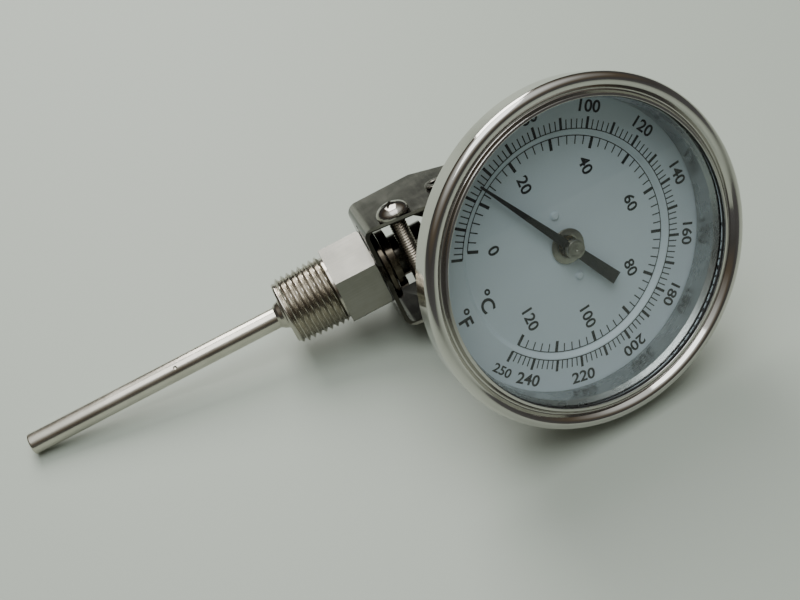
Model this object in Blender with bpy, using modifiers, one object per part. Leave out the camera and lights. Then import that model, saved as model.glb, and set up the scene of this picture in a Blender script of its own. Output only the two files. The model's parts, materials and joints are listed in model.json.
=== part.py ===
"""Adjustable-angle bimetal dial thermometer with a threaded stem.

Metres, +Z along the stem towards the dial, origin on the stem axis at the hexagon's shoulder,
where the thread ends. The dial faces -Y and its numerals stand up along +Z.
Each head piece is placed from the dial frame: X to the dial's right, Y to its 12 o'clock,
Z out of the dial, with its origin on the face at the middle of the scale.
"""

import math

import bmesh
import bpy
from mathutils import Matrix, Vector

MM = 0.001
FIT = 0.3 * MM  # clearance between pieces that touch or slide

# Stem and fitting
STEM_RADIUS = 3.175 * MM
STEM_WALL = 0.55 * MM
STEM_LENGTH = 98.0 * MM  # from the shoulder to the tip
STEM_TOP = 3.0 * MM  # how far the tube runs up inside the hexagon
THREAD_LENGTH = 16.6 * MM
THREAD_PITCH = 1.814 * MM
THREAD_BIG_RADIUS = 10.67 * MM
THREAD_TAPER = 1 / 32  # radius lost for each unit of length
THREAD_DEPTH = 0.95 * MM
THREAD_RELIEF = 0.6 * MM  # plain groove under the hexagon
HEX_FLATS = 22.4 * MM
HEX_HEIGHT = 12.7 * MM
HEX_TURN = math.radians(4.8)
HEX_CHAMFER = 0.5 * MM
NECK_RADIUS = 6.0 * MM
NECK_PROUD = 0.7 * MM  # neck above the swivel nut
NECK_BUSH_DEPTH = 4.0 * MM
NECK_BUSH_HEAD = 0.7 * MM
WELD_WIDTH = 1.5 * MM
WELD_LENGTH = 2.2 * MM

# Swivel stack on the neck
SHEET = 1.2 * MM
WASHER_TO_BEND = 1.6 * MM
SWIVEL_WASHER_HEIGHT = 1.8 * MM
SWIVEL_NUT_COVER = 0.558  # share of the washer, from its bore out, that the nut covers
SWIVEL_NUT_HEIGHT = 2.6 * MM

# Stem bracket: a U whose ears carry the tilt pivot
BRACKET_HALF = 16.3 * MM
BEND_RADIUS = 3.2 * MM  # outside of the bend
WEB_FRONT = 13.0 * MM
WEB_REAR = 11.4 * MM
LOBE_PAST_FLAT = 0.9 * MM  # how far the round front reaches into the bends
PIVOT_Y = -6.0 * MM
PIVOT_RISE = 23.6 * MM  # above the web
EAR_RADIUS = 12.4 * MM
SHOULDER_RISE = 19.6 * MM  # above the web, where the rear edge leans forward
PIVOT_RADIUS = 2.2 * MM
PIVOT_WALL = 1.0 * MM
FLANGE_WIDTH = 0.7 * MM
FLANGE_HEIGHT = 0.6 * MM

# Clamp screw, M5 with a pan head and a cross recess
CLAMP_Y = -12.0 * MM
CLAMP_CLEARANCE = 1.55 * MM  # shank over the swivel nut
CLAMP_RADIUS = 2.45 * MM
CLAMP_HEAD_RADIUS = 4.8 * MM
CLAMP_HEAD_HEIGHT = 3.3 * MM
CLAMP_NUT_FLATS = 8.0 * MM
CLAMP_NUT_HEIGHT = 3.2 * MM
CLAMP_TAIL = 1.6 * MM  # thread past the nut

# Head, seen from the tilt pivot
REST_TILT = math.radians(78.8)  # 0 is straight with the stem, 90 square to it
FACE_REACH = 44.6 * MM
HEAD_RISE = 11.4 * MM
CASE_RADIUS = 41.5 * MM
CASE_WALL = 0.8 * MM
CASE_CORNER = 6.0 * MM
CASE_BACK = -6.2 * MM
CASE_RIM = 10.4 * MM
CASE_FLANGE = 2.9 * MM
CASE_HOLE = 5.0 * MM
BEZEL_PAST_RIM = 1.6 * MM
BEZEL_SHEET = 0.5 * MM
BEZEL_REAR = 4.6 * MM
BEZEL_DRAFT = 0.6 * MM  # radius lost from the bead to the rear edge
BEZEL_REAR_CORNER = 0.8 * MM
BEZEL_BEAD = 1.9 * MM
BEZEL_BEAD_DROP = 1.3 * MM  # middle of the bead below the lip's top
BEZEL_GROOVE = 1.0 * MM  # depth of the groove between lip and bead
BEZEL_GROOVE_IN = 1.65 * MM  # from the lip's edge to the bottom of that groove
LIP_WIDTH = 0.85 * MM
LIP_PAST_SPACER = 0.95 * MM
BEZEL_GASKET = 1.0 * MM  # gasket and its two clearances, glass to lip
GLASS_PAST_RIM = 0.6 * MM
GLASS_THICKNESS = 1.8 * MM
GASKET_THICKNESS = 0.4 * MM
GASKET_SHOWS = 0.2 * MM
SPACER_WALL = 1.3 * MM
SPACER_CHAMFER = 1.0 * MM  # round the bore, under the glass

# Dial, pointer and bearing
DIAL_SHEET = 0.5 * MM
DIAL_DISH = 1.2 * MM
SCALE_MARGIN = 8.9 * MM  # spacer bore to the step round the dish
DISH_SLOPE = 1.1 * MM
REST_READING = math.radians(-120)  # pointer angle, clockwise from 12 o'clock
TIP_PAST_DISH = 1.7 * MM
POINTER_TAIL = 16.9 * MM
POINTER_TIP_WIDTH = 0.7 * MM
POINTER_TAIL_WIDTH = 3.5 * MM
POINTER_SHEET = 0.4 * MM
POINTER_HEIGHT = 1.0 * MM
HUB_RADIUS = 2.55 * MM
HUB_HEIGHT = 2.0 * MM
ARBOR_RADIUS = 0.9 * MM
BOSS_PAST_SCREW = 2.4 * MM
BOSS_NECK_WALL = 1.2 * MM
CENTRE_WASHER_RADIUS = 4.75 * MM
CENTRE_WASHER_HEIGHT = 0.6 * MM
DIAL_SCREW_OFFSET = 9.2 * MM
DIAL_SCREW_RADIUS = 0.7 * MM
DIAL_SCREW_HEAD = 1.2 * MM

# Case bracket and its rivets
CASE_BRACKET_HEIGHT = 32.0 * MM
CASE_EAR_RADIUS = 11.5 * MM
RIVET_TO_EAR = 4.6 * MM
RIVET_TO_BOSS = 1.1 * MM  # between their heads and the boss inside
RIVET_RADIUS = 1.3 * MM
RIVET_HEAD = 1.9 * MM
RIVET_HEAD_HEIGHT = 0.8 * MM

# Drive train inside the stem
SHAFT_RADIUS = 0.6 * MM
SHAFT_PAST_NECK = 3.6 * MM
HELIX_CLEARANCE = 0.6 * MM  # helix inside the tube
HELIX_WIRE = 0.28 * MM
ANCHOR_LENGTH = 3.0 * MM
HELIX_TURNS = 12
HELIX_PITCH = 2.6 * MM
HELIX_SIDES = 8  # points in one turn
GUIDE_HEIGHT = 3.0 * MM
GUIDE_PAST_HELIX = 8.0 * MM
COUPLING_RADIUS = 1.5 * MM
COLLAR_RADIUS = 2.1 * MM
COLLAR_LENGTH = 4.0 * MM
COLLAR_OVERLAP = 2.0 * MM  # how far a collar grips its shaft
RESET_TO_WALL = 10.5 * MM
RESET_FLATS = 6.0 * MM
RESET_HEIGHT = 2.4 * MM
RESET_RADIUS = 1.8 * MM
RESET_REACH = 2.5 * MM  # into the case

# Worked out from the above
WEB_BOTTOM = HEX_HEIGHT + FIT
WEB_TOP = WEB_BOTTOM + SHEET
WASHER_BOTTOM = WEB_TOP + FIT
SWIVEL_NUT_BOTTOM = WASHER_BOTTOM + SWIVEL_WASHER_HEIGHT + FIT
SWIVEL_NUT_TOP = SWIVEL_NUT_BOTTOM + SWIVEL_NUT_HEIGHT
NECK_TOP = SWIVEL_NUT_TOP + NECK_PROUD
SHAFT_TOP = NECK_TOP + SHAFT_PAST_NECK
WELD_RADIUS = STEM_RADIUS + WELD_WIDTH
FLAT_HALF = BRACKET_HALF - BEND_RADIUS
SWIVEL_WASHER_RADIUS = FLAT_HALF - WASHER_TO_BEND
SWIVEL_BORE = NECK_RADIUS + FIT
SWIVEL_NUT_RADIUS = SWIVEL_BORE + (SWIVEL_WASHER_RADIUS - SWIVEL_BORE) * SWIVEL_NUT_COVER
LOBE_RADIUS = FLAT_HALF + LOBE_PAST_FLAT
PIVOT_Z = WEB_TOP + PIVOT_RISE
EAR_SHOULDER = WEB_TOP + SHOULDER_RISE
PIVOT_BORE = PIVOT_RADIUS - PIVOT_WALL
PIVOT_FLANGE = PIVOT_RADIUS + FLANGE_WIDTH
CLAMP_Z = SWIVEL_NUT_TOP + CLAMP_CLEARANCE + CLAMP_RADIUS
EAR_INNER = BRACKET_HALF - SHEET
CASE_EAR_OUTER = EAR_INNER - FIT
CASE_EAR_INNER = CASE_EAR_OUTER - SHEET
CASE_BORE = CASE_RADIUS - CASE_WALL
INSIDE_RADIUS = CASE_BORE - FIT
CASE_FLOOR = CASE_BACK + CASE_WALL
BEZEL_RADIUS = CASE_RADIUS + CASE_FLANGE + BEZEL_PAST_RIM
SPACER_BORE = INSIDE_RADIUS - SPACER_WALL
BEZEL_LIP = SPACER_BORE + LIP_PAST_SPACER
DISH_OUTER = SPACER_BORE - SCALE_MARGIN
DISH_INNER = DISH_OUTER - DISH_SLOPE
POINTER_TIP = DISH_OUTER + TIP_PAST_DISH
RESET_OFFSET = CASE_RADIUS - RESET_TO_WALL
RIVET_X = CASE_EAR_INNER - RIVET_TO_EAR
GLASS_TOP = CASE_RIM + GLASS_PAST_RIM
GASKET_BOTTOM = GLASS_TOP + FIT
LIP_BOTTOM = GLASS_TOP + BEZEL_GASKET
LIP_TOP = LIP_BOTTOM + BEZEL_SHEET
CASE_BRACKET_FRONT = CASE_BACK - FIT
CASE_BRACKET_BACK = CASE_BRACKET_FRONT - SHEET
DISH_TOP = -DIAL_DISH
BOSS_RADIUS = DIAL_SCREW_OFFSET + BOSS_PAST_SCREW
RIVET_CIRCLE = BOSS_RADIUS + RIVET_TO_BOSS + RIVET_HEAD
RIVET_Y = math.sqrt(RIVET_CIRCLE**2 - RIVET_X**2)
BOSS_NECK = ARBOR_RADIUS + FIT + BOSS_NECK_WALL
BOSS_BOTTOM = CASE_FLOOR + FIT
BOSS_TOP = DISH_TOP - DIAL_SHEET - FIT
CENTRE_WASHER_BOTTOM = DISH_TOP + FIT
BORE_RADIUS = STEM_RADIUS - STEM_WALL
ANCHOR_BOTTOM = -STEM_LENGTH + 2 * STEM_WALL + FIT
ANCHOR_TOP = ANCHOR_BOTTOM + ANCHOR_LENGTH
HELIX_BOTTOM = ANCHOR_TOP + FIT + HELIX_WIRE
HELIX_RADIUS = BORE_RADIUS - HELIX_CLEARANCE - HELIX_WIRE
POINTER_TOP = POINTER_HEIGHT + POINTER_SHEET
HUB_BOTTOM = POINTER_TOP + FIT
ARBOR_TOP = HUB_BOTTOM + HUB_HEIGHT * 0.45
ARBOR_BOTTOM = CASE_BRACKET_BACK - COLLAR_LENGTH
HELIX_TOP = HELIX_BOTTOM + HELIX_TURNS * HELIX_PITCH

ROUND = 40  # facets round the case
MIDDLE = 24  # facets round the fitting, the washers and the boss
SMALL = 14  # facets round a small piece

for old in list(bpy.data.objects):
    bpy.data.objects.remove(old, do_unlink=True)

parts = bpy.data.collections.new("dial_thermometer")
cutters = bpy.data.collections.new("cutters")
for made in (parts, cutters):
    bpy.context.scene.collection.children.link(made)


def metal(name, colour, roughness, metallic=1.0):
    material = bpy.data.materials.new(name)
    material.use_nodes = True
    shader = material.node_tree.nodes["Principled BSDF"]
    shader.inputs["Base Color"].default_value = (*colour, 1)
    shader.inputs["Roughness"].default_value = roughness
    shader.inputs["Metallic"].default_value = metallic
    return material


def empty(name, location, parent=None, turn_x=0.0):
    frame = bpy.data.objects.new(name, None)
    parts.objects.link(frame)
    frame.location = location
    frame.rotation_euler.x = turn_x
    frame.parent = parent
    frame.empty_display_size = 5 * MM
    return frame


def add(name, mesh, material, parent=None, matrix=None):
    """A named part, in its parent's frame, or a cutter when it has no material."""
    part = bpy.data.objects.new(name, mesh)
    part.parent = parent
    part.matrix_basis = matrix or Matrix()
    if material:
        mesh.materials.append(material)
        parts.objects.link(part)
    else:
        cutters.objects.link(part)
        part.hide_render = True
        part.display_type = "WIRE"
    return part


def turned(name, profile, material, parent=None, matrix=None, steps=SMALL, ring=False):
    """A turned piece: (radius, height) points down its outer side, and for a ring up its bore."""
    mesh = bpy.data.meshes.new(name)
    edges = [(i, i + 1) for i in range(len(profile) - 1)]
    if ring:
        edges.append((len(profile) - 1, 0))
    mesh.from_pydata([(radius, 0, height) for radius, height in profile], edges, [])
    part = add(name, mesh, material, parent, matrix)
    screw = part.modifiers.new("turn", "SCREW")
    screw.steps = screw.render_steps = steps
    screw.use_merge_vertices = True
    screw.merge_threshold = 0.00001
    screw.use_smooth_shade = True
    return part


def arc(centre, radius, start, end, count):
    """Points on an arc, both ends included, with angles in degrees."""
    points = []
    for i in range(count + 1):
        angle = math.radians(start + (end - start) * i / count)
        points.append((centre[0] + radius * math.cos(angle), centre[1] + radius * math.sin(angle)))
    return points


def plate(name, outline, low, high, material, parent=None, matrix=None):
    """A flat outline in XY, solid from low to high along Z, made a mesh so that it can be cut."""
    curve = bpy.data.curves.new(name, "CURVE")
    curve.dimensions = "2D"
    curve.fill_mode = "BOTH"
    curve.extrude = (high - low) / 2
    spline = curve.splines.new("POLY")
    spline.points.add(len(outline) - 1)
    for point, (x, y) in zip(spline.points, outline):
        point.co = (x, y, 0, 1)
    spline.use_cyclic_u = True
    guide = bpy.data.objects.new(name + "_guide", curve)
    cutters.objects.link(guide)
    bpy.context.view_layer.update()
    mesh = bpy.data.meshes.new_from_object(guide.evaluated_get(bpy.context.evaluated_depsgraph_get()))
    mesh.name = name
    bpy.data.objects.remove(guide, do_unlink=True)
    work = bmesh.new()
    work.from_mesh(mesh)
    bmesh.ops.remove_doubles(work, verts=work.verts, dist=0.000001)
    bmesh.ops.translate(work, verts=work.verts, vec=(0, 0, (high + low) / 2))
    bmesh.ops.recalc_face_normals(work, faces=work.faces)
    work.to_mesh(mesh)
    work.free()
    return add(name, mesh, material, parent, matrix)


def cut(part, cutter, operation="DIFFERENCE"):
    boolean = part.modifiers.new(cutter.name, "BOOLEAN")
    boolean.operation = operation
    boolean.object = cutter


def bore(part, radius, low, high, matrix=None, steps=SMALL):
    """Drills part along the Z axis of matrix, in part's own parent frame."""
    name = f"{part.name}_bore_{len(part.modifiers)}"
    outline = [(0, high), (radius, high), (radius, low), (0, low)]
    cut(part, turned(name, outline, None, part.parent, matrix, steps))


def hexagon(flats, turn=0.0):
    corner = flats / math.sqrt(3)
    return [
        (corner * math.cos(turn + math.pi * i / 3), corner * math.sin(turn + math.pi * i / 3))
        for i in range(6)
    ]


def wire(name, points, radius, material, sides):
    """A round wire through the points with flat closed ends."""
    curve = bpy.data.curves.new(name, "CURVE")
    curve.dimensions = "3D"
    curve.bevel_depth = radius
    curve.bevel_resolution = sides
    curve.use_fill_caps = True
    spline = curve.splines.new("POLY")
    spline.points.add(len(points) - 1)
    for point, place in zip(spline.points, points):
        point.co = (*place, 1)
    part = bpy.data.objects.new(name, curve)
    curve.materials.append(material)
    parts.objects.link(part)
    return part


def along_x(x, y, z):
    """A frame at the point whose Z axis runs along +X."""
    return Matrix.Translation((x, y, z)) @ Matrix.Rotation(math.pi / 2, 4, "Y")


polished = metal("polished_stainless", (0.62, 0.61, 0.58), 0.08)
brushed = metal("brushed_stainless", (0.60, 0.58, 0.54), 0.32)
dark_steel = metal("dark_stainless", (0.33, 0.32, 0.30), 0.22)
satin = metal("satin_stainless", (0.55, 0.55, 0.54), 0.35)
brass = metal("brass", (0.66, 0.50, 0.24), 0.30)
white_print = metal("dial_enamel", (0.62, 0.66, 0.69), 0.45, 0.0)
black_paint = metal("pointer_black", (0.012, 0.013, 0.015), 0.35, 0.0)
clear = metal("window_glass", (0.95, 0.97, 0.97), 0.02, 0.0)
rubber = metal("gasket_rubber", (0.03, 0.03, 0.03), 0.6, 0.0)

tilt_axis = empty("tilt_axis", (0, PIVOT_Y, PIVOT_Z), turn_x=REST_TILT)
dial_axis = empty("dial_axis", (0, HEAD_RISE, FACE_REACH), tilt_axis)


def fitting():
    """Hexagon, tapered pipe thread and swivel neck, one machined piece bored right through."""
    profile = [(0, NECK_TOP), (NECK_RADIUS, NECK_TOP), (NECK_RADIUS, HEX_HEIGHT / 2)]
    profile.append((THREAD_BIG_RADIUS - THREAD_DEPTH, HEX_HEIGHT / 2))
    profile.append((THREAD_BIG_RADIUS - THREAD_DEPTH, -THREAD_RELIEF))
    ridges = int((THREAD_LENGTH - THREAD_RELIEF) / THREAD_PITCH)
    for i in range(ridges):
        crest = -THREAD_RELIEF - THREAD_PITCH * (i + 0.5)
        radius = THREAD_BIG_RADIUS + crest * THREAD_TAPER
        root = crest - THREAD_PITCH / 2
        profile.append((radius, crest + THREAD_PITCH * 0.06))
        profile.append((radius, crest - THREAD_PITCH * 0.06))
        profile.append((THREAD_BIG_RADIUS - THREAD_DEPTH + root * THREAD_TAPER, root))
    end_radius = THREAD_BIG_RADIUS - THREAD_DEPTH - THREAD_LENGTH * THREAD_TAPER
    profile += [(end_radius, -THREAD_LENGTH), (0, -THREAD_LENGTH)]
    body = turned("threaded_hex_fitting", profile, brushed, steps=MIDDLE)
    flats = plate("hexagon_stock", hexagon(HEX_FLATS, HEX_TURN), 0, HEX_HEIGHT, None)
    corner = HEX_FLATS / math.sqrt(3)
    rounding = turned(
        "hexagon_chamfer",
        [
            (0, HEX_HEIGHT + MM),
            (corner - HEX_CHAMFER - MM * 1.7, HEX_HEIGHT + MM),
            (corner + MM, HEX_HEIGHT - HEX_CHAMFER - MM * 0.57),
            (corner + MM, HEX_CHAMFER + MM * 0.57),
            (corner - HEX_CHAMFER - MM * 1.7, -MM),
            (0, -MM),
        ],
        None,
        steps=ROUND,
    )
    cut(flats, rounding, "INTERSECT")
    cut(body, flats, "UNION")
    bore(body, STEM_RADIUS + FIT, -THREAD_LENGTH - MM, NECK_TOP + MM)


def stem():
    """The closed tube, its weld fillet, and the bimetal drive inside."""
    tip = -STEM_LENGTH
    end = 0.5 * MM
    turned(
        "stem_tube",
        [
            (STEM_RADIUS, STEM_TOP),
            (STEM_RADIUS, tip + end),
            (STEM_RADIUS - end * 0.3, tip + end * 0.3),
            (STEM_RADIUS - end, tip),
            (0, tip),
            (0, tip + 2 * STEM_WALL),
            (BORE_RADIUS, tip + 2 * STEM_WALL),
            (BORE_RADIUS, STEM_TOP),
            (STEM_RADIUS, STEM_TOP),
        ],
        brushed,
    )
    top = -THREAD_LENGTH - FIT
    inner = STEM_RADIUS + FIT
    turned(
        "weld_fillet",
        [(WELD_RADIUS, top), (WELD_RADIUS * 0.86, top - WELD_LENGTH / 2), (inner + 0.35 * MM, top - WELD_LENGTH)]
        + [(inner, top - WELD_LENGTH), (inner, top)],
        brushed,
        ring=True,
    )
    anchor_radius = BORE_RADIUS - FIT
    low, high = ANCHOR_BOTTOM, ANCHOR_TOP
    turned("helix_anchor", [(0, high), (anchor_radius, high), (anchor_radius, low), (0, low)], brass)
    turns = [
        (
            HELIX_RADIUS * math.cos(2 * math.pi * i / HELIX_SIDES),
            HELIX_RADIUS * math.sin(2 * math.pi * i / HELIX_SIDES),
            HELIX_BOTTOM + HELIX_PITCH * i / HELIX_SIDES,
        )
        for i in range(HELIX_SIDES * HELIX_TURNS + 1)
    ]
    wire("bimetal_helix", turns, HELIX_WIRE, brass, 0)
    shaft_bottom = HELIX_BOTTOM - HELIX_WIRE
    turned(
        "drive_shaft",
        [(0, SHAFT_TOP), (SHAFT_RADIUS, SHAFT_TOP), (SHAFT_RADIUS, shaft_bottom), (0, shaft_bottom)],
        polished,
        steps=12,
    )
    for name, middle in (("lower_guide_bush", HELIX_TOP + GUIDE_PAST_HELIX), ("upper_guide_bush", -GUIDE_HEIGHT)):
        turned(
            name,
            [(anchor_radius, middle + GUIDE_HEIGHT / 2), (anchor_radius, middle - GUIDE_HEIGHT / 2)]
            + [(SHAFT_RADIUS + FIT, middle - GUIDE_HEIGHT / 2), (SHAFT_RADIUS + FIT, middle + GUIDE_HEIGHT / 2)],
            brass,
            ring=True,
        )
    head_low = NECK_TOP + FIT
    head_high = head_low + NECK_BUSH_HEAD
    foot = NECK_TOP - NECK_BUSH_DEPTH
    turned(
        "neck_bush",
        [
            (STEM_RADIUS + WELD_WIDTH, head_high),
            (STEM_RADIUS + WELD_WIDTH, head_low),
            (STEM_RADIUS, head_low),
            (STEM_RADIUS, foot),
            (SHAFT_RADIUS + FIT, foot),
            (SHAFT_RADIUS + FIT, head_high),
        ],
        brass,
        ring=True,
    )


def swivel_stack():
    """Washer and slotted nut that hold the bracket down on the neck."""
    hole = SWIVEL_BORE
    low, high = WASHER_BOTTOM, WASHER_BOTTOM + SWIVEL_WASHER_HEIGHT
    edge = 0.3 * MM
    turned(
        "swivel_washer",
        [
            (SWIVEL_WASHER_RADIUS - edge, high),
            (SWIVEL_WASHER_RADIUS, high - edge),
            (SWIVEL_WASHER_RADIUS, low + edge),
            (SWIVEL_WASHER_RADIUS - edge, low),
            (hole, low),
            (hole, high),
        ],
        polished,
        steps=MIDDLE,
        ring=True,
    )
    low, high = SWIVEL_NUT_BOTTOM, SWIVEL_NUT_TOP
    nut = turned(
        "swivel_nut",
        [
            (SWIVEL_NUT_RADIUS - edge, high),
            (SWIVEL_NUT_RADIUS, high - edge),
            (SWIVEL_NUT_RADIUS, low),
            (hole, low),
            (hole, high),
        ],
        dark_steel,
        steps=MIDDLE,
        ring=True,
    )
    slot = 1.2 * MM
    reach = SWIVEL_NUT_RADIUS + MM
    box = [(-reach, -slot), (reach, -slot), (reach, slot), (-reach, slot)]
    cut(nut, plate("spanner_slot", box, high - 1.1 * MM, high + MM, None, matrix=Matrix.Rotation(0.5, 4, "Z")))


def channel(half, height, bend):
    """Cross-section of a U in sheet: web along the bottom from 0, ears up to height."""
    inner = bend - SHEET
    outside = arc((-half + bend, bend), bend, 180, 270, 4) + arc((half - bend, bend), bend, 270, 360, 4)
    inside = arc((half - bend, bend), inner, 0, -90, 4) + arc((-half + bend, bend), inner, -90, -180, 4)
    return [(-half, height), *outside, (half, height), (half - SHEET, height), *inside, (-half + SHEET, height)]


def tangent(point, centre, radius, side):
    """Where the line from point touches the circle, on its left (1) or right (-1) side."""
    offset = Vector(centre) - Vector(point)
    angle = math.atan2(offset.y, offset.x) + side * math.asin(radius / offset.length)
    reach = math.sqrt(offset.length_squared - radius**2)
    return (point[0] + reach * math.cos(angle), point[1] + reach * math.sin(angle))


def rounded_ear(base, centre, radius):
    """Outline from two base points, right then left, to a round end about centre."""
    right = tangent(base[0], centre, radius, -1)
    left = tangent(base[1], centre, radius, 1)
    start = math.degrees(math.atan2(right[1] - centre[1], right[0] - centre[0]))
    end = math.degrees(math.atan2(left[1] - centre[1], left[0] - centre[0]))
    if end < start:
        end += 360
    return [base[0], *arc(centre, radius, start, end, 12), base[1]]


def stem_bracket():
    """U bracket that turns on the neck and carries the tilt pivot and the clamp screw."""
    height = PIVOT_Z + EAR_RADIUS + MM - WEB_BOTTOM
    reach = WEB_FRONT + EAR_RADIUS + 10 * MM
    on_side = Matrix.Translation((0, 0, WEB_BOTTOM)) @ Matrix.Rotation(math.pi / 2, 4, "X")
    section = channel(BRACKET_HALF, height, BEND_RADIUS)
    bracket = plate("stem_bracket", section, -reach, reach, dark_steel, matrix=on_side)
    # The ear's outline is drawn with x along -Y, so that the dial side comes out to the right.
    below = WEB_BOTTOM - MM
    base = [(WEB_FRONT, WEB_BOTTOM), (-WEB_REAR - 0.4 * MM, EAR_SHOULDER)]
    outline = rounded_ear(base, (-PIVOT_Y, PIVOT_Z), EAR_RADIUS)
    outline += [(-WEB_REAR, WEB_TOP), (-WEB_REAR, below), (WEB_FRONT, below)]
    from_side = Matrix(((0, 0, 1, 0), (-1, 0, 0, 0), (0, 1, 0, 0), (0, 0, 0, 1)))
    side = BRACKET_HALF + MM
    cut(bracket, plate("ear_outline", outline, -side, side, None, matrix=from_side), "INTERSECT")
    lobe = turned(
        "web_lobe",
        [(0, WEB_TOP), (LOBE_RADIUS, WEB_TOP), (LOBE_RADIUS, WEB_BOTTOM), (0, WEB_BOTTOM)],
        None,
        steps=ROUND,
    )
    lobe_front = [(-LOBE_RADIUS, 0), (LOBE_RADIUS, 0), (LOBE_RADIUS, -2 * LOBE_RADIUS), (-LOBE_RADIUS, -2 * LOBE_RADIUS)]
    cut(lobe, plate("lobe_half", lobe_front, 0, NECK_TOP, None), "INTERSECT")
    cut(bracket, lobe, "UNION")
    bore(bracket, NECK_RADIUS + FIT, 0, NECK_TOP, steps=MIDDLE)
    side += MM
    bore(bracket, PIVOT_RADIUS + FIT, -side, side, along_x(0, PIVOT_Y, PIVOT_Z))
    bore(bracket, CLAMP_RADIUS + FIT, -side, side, along_x(0, CLAMP_Y, CLAMP_Z))

    outer = BRACKET_HALF + FIT
    inner = CASE_EAR_INNER - FIT
    rivet = [
        (PIVOT_BORE, outer + FLANGE_HEIGHT),
        (PIVOT_FLANGE - 0.2 * MM, outer + FLANGE_HEIGHT),
        (PIVOT_FLANGE, outer + FLANGE_HEIGHT - 0.2 * MM),
        (PIVOT_FLANGE, outer),
        (PIVOT_RADIUS, outer),
        (PIVOT_RADIUS, inner),
        (PIVOT_FLANGE, inner),
        (PIVOT_FLANGE, inner - FLANGE_HEIGHT),
        (PIVOT_BORE, inner - FLANGE_HEIGHT),
    ]
    for name, turn in (("pivot_rivet_right", 0), ("pivot_rivet_left", math.pi)):
        place = Matrix.Translation((0, PIVOT_Y, PIVOT_Z)) @ Matrix.Rotation(turn, 4, "Z")
        turned(name, rivet, polished, matrix=place @ along_x(0, 0, 0), ring=True)


def clamp():
    """The long screw that squeezes the ears together, and its nut."""
    head = -BRACKET_HALF - FIT
    nut_low = BRACKET_HALF + FIT
    nut_high = nut_low + CLAMP_NUT_HEIGHT
    top = nut_high + CLAMP_TAIL
    crown = [
        (CLAMP_HEAD_RADIUS * math.cos(angle), head - CLAMP_HEAD_HEIGHT * (0.25 + 0.75 * math.sin(angle)))
        for angle in (math.radians(15 * i) for i in range(6))
    ]
    profile = [(0, top), (CLAMP_RADIUS - 0.4 * MM, top), (CLAMP_RADIUS, top - 0.4 * MM), (CLAMP_RADIUS, head)]
    profile += [(CLAMP_HEAD_RADIUS, head), *crown, (0, head - CLAMP_HEAD_HEIGHT)]
    screw = turned("clamp_screw", profile, polished, matrix=along_x(0, CLAMP_Y, CLAMP_Z))
    blade, span = 0.55 * MM, 2.3 * MM
    for name, turn in (("cross_slot_a", 0.3), ("cross_slot_b", 0.3 + math.pi / 2)):
        box = [(-span, -blade), (span, -blade), (span, blade), (-span, blade)]
        depth = head - CLAMP_HEAD_HEIGHT
        place = along_x(0, CLAMP_Y, CLAMP_Z) @ Matrix.Rotation(turn, 4, "Z")
        cut(screw, plate(name, box, depth - MM, depth + 1.8 * MM, None, matrix=place))
    nut = plate(
        "clamp_nut", hexagon(CLAMP_NUT_FLATS), nut_low, nut_high, polished, matrix=along_x(0, CLAMP_Y, CLAMP_Z)
    )
    bore(nut, CLAMP_RADIUS + FIT, 0, nut_high + MM, along_x(0, CLAMP_Y, CLAMP_Z))


def case_bracket():
    """U bracket riveted to the case back, whose ears tilt between the stem bracket's ears."""
    pivot_low = -FACE_REACH
    height = -pivot_low + CASE_EAR_RADIUS + MM + CASE_BRACKET_FRONT
    reach = CASE_BRACKET_HEIGHT + HEAD_RISE + CASE_EAR_RADIUS
    # The U's web lies against the case and its ears run back, away from the dial.
    turn = Matrix.Rotation(math.pi, 4, "Y") @ Matrix.Rotation(math.pi / 2, 4, "X")
    on_side = Matrix.Translation((0, 0, CASE_BRACKET_FRONT)) @ turn
    section = channel(CASE_EAR_OUTER, height, BEND_RADIUS)
    bracket = plate("case_bracket", section, -reach, reach, dark_steel, dial_axis, on_side)
    half = CASE_BRACKET_HEIGHT / 2
    # Drawn with x along the dial's 12 o'clock and y backwards from the face.
    base = [(half, -CASE_BRACKET_BACK), (-half, -CASE_BRACKET_BACK)]
    outline = rounded_ear(base, (-HEAD_RISE, FACE_REACH), CASE_EAR_RADIUS)
    front = -CASE_BRACKET_FRONT - MM
    outline += [(-half, front), (half, front)]
    from_side = Matrix(((0, 0, 1, 0), (1, 0, 0, 0), (0, -1, 0, 0), (0, 0, 0, 1)))
    side = CASE_EAR_OUTER + MM
    cut(bracket, plate("case_ear_outline", outline, -side, side, None, dial_axis, from_side), "INTERSECT")
    bore(bracket, CASE_HOLE + MM, CASE_BRACKET_BACK - MM, CASE_BRACKET_FRONT + MM)
    bore(bracket, PIVOT_RADIUS + FIT, -side - MM, side + MM, along_x(0, -HEAD_RISE, -FACE_REACH))

    inside = CASE_FLOOR + FIT
    outside = CASE_BRACKET_BACK - FIT
    rivet = [
        (0, inside + RIVET_HEAD_HEIGHT),
        (RIVET_HEAD * 0.7, inside + RIVET_HEAD_HEIGHT),
        (RIVET_HEAD, inside + RIVET_HEAD_HEIGHT * 0.4),
        (RIVET_HEAD, inside),
        (RIVET_RADIUS, inside),
        (RIVET_RADIUS, outside),
        (RIVET_HEAD, outside),
        (RIVET_HEAD, outside - RIVET_HEAD_HEIGHT * 0.4),
        (RIVET_HEAD * 0.7, outside - RIVET_HEAD_HEIGHT),
        (0, outside - RIVET_HEAD_HEIGHT),
    ]
    for i, (x, y) in enumerate(rivet_places()):
        place = Matrix.Translation((x, y, 0))
        bore(bracket, RIVET_RADIUS + FIT, CASE_BRACKET_BACK - MM, CASE_BRACKET_FRONT + MM, place, SMALL)
        turned(f"case_rivet_{i + 1}", rivet, polished, dial_axis, place, SMALL)


def rivet_places():
    return [(x * RIVET_X, y * RIVET_Y) for x in (-1, 1) for y in (-1, 1)]


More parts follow.
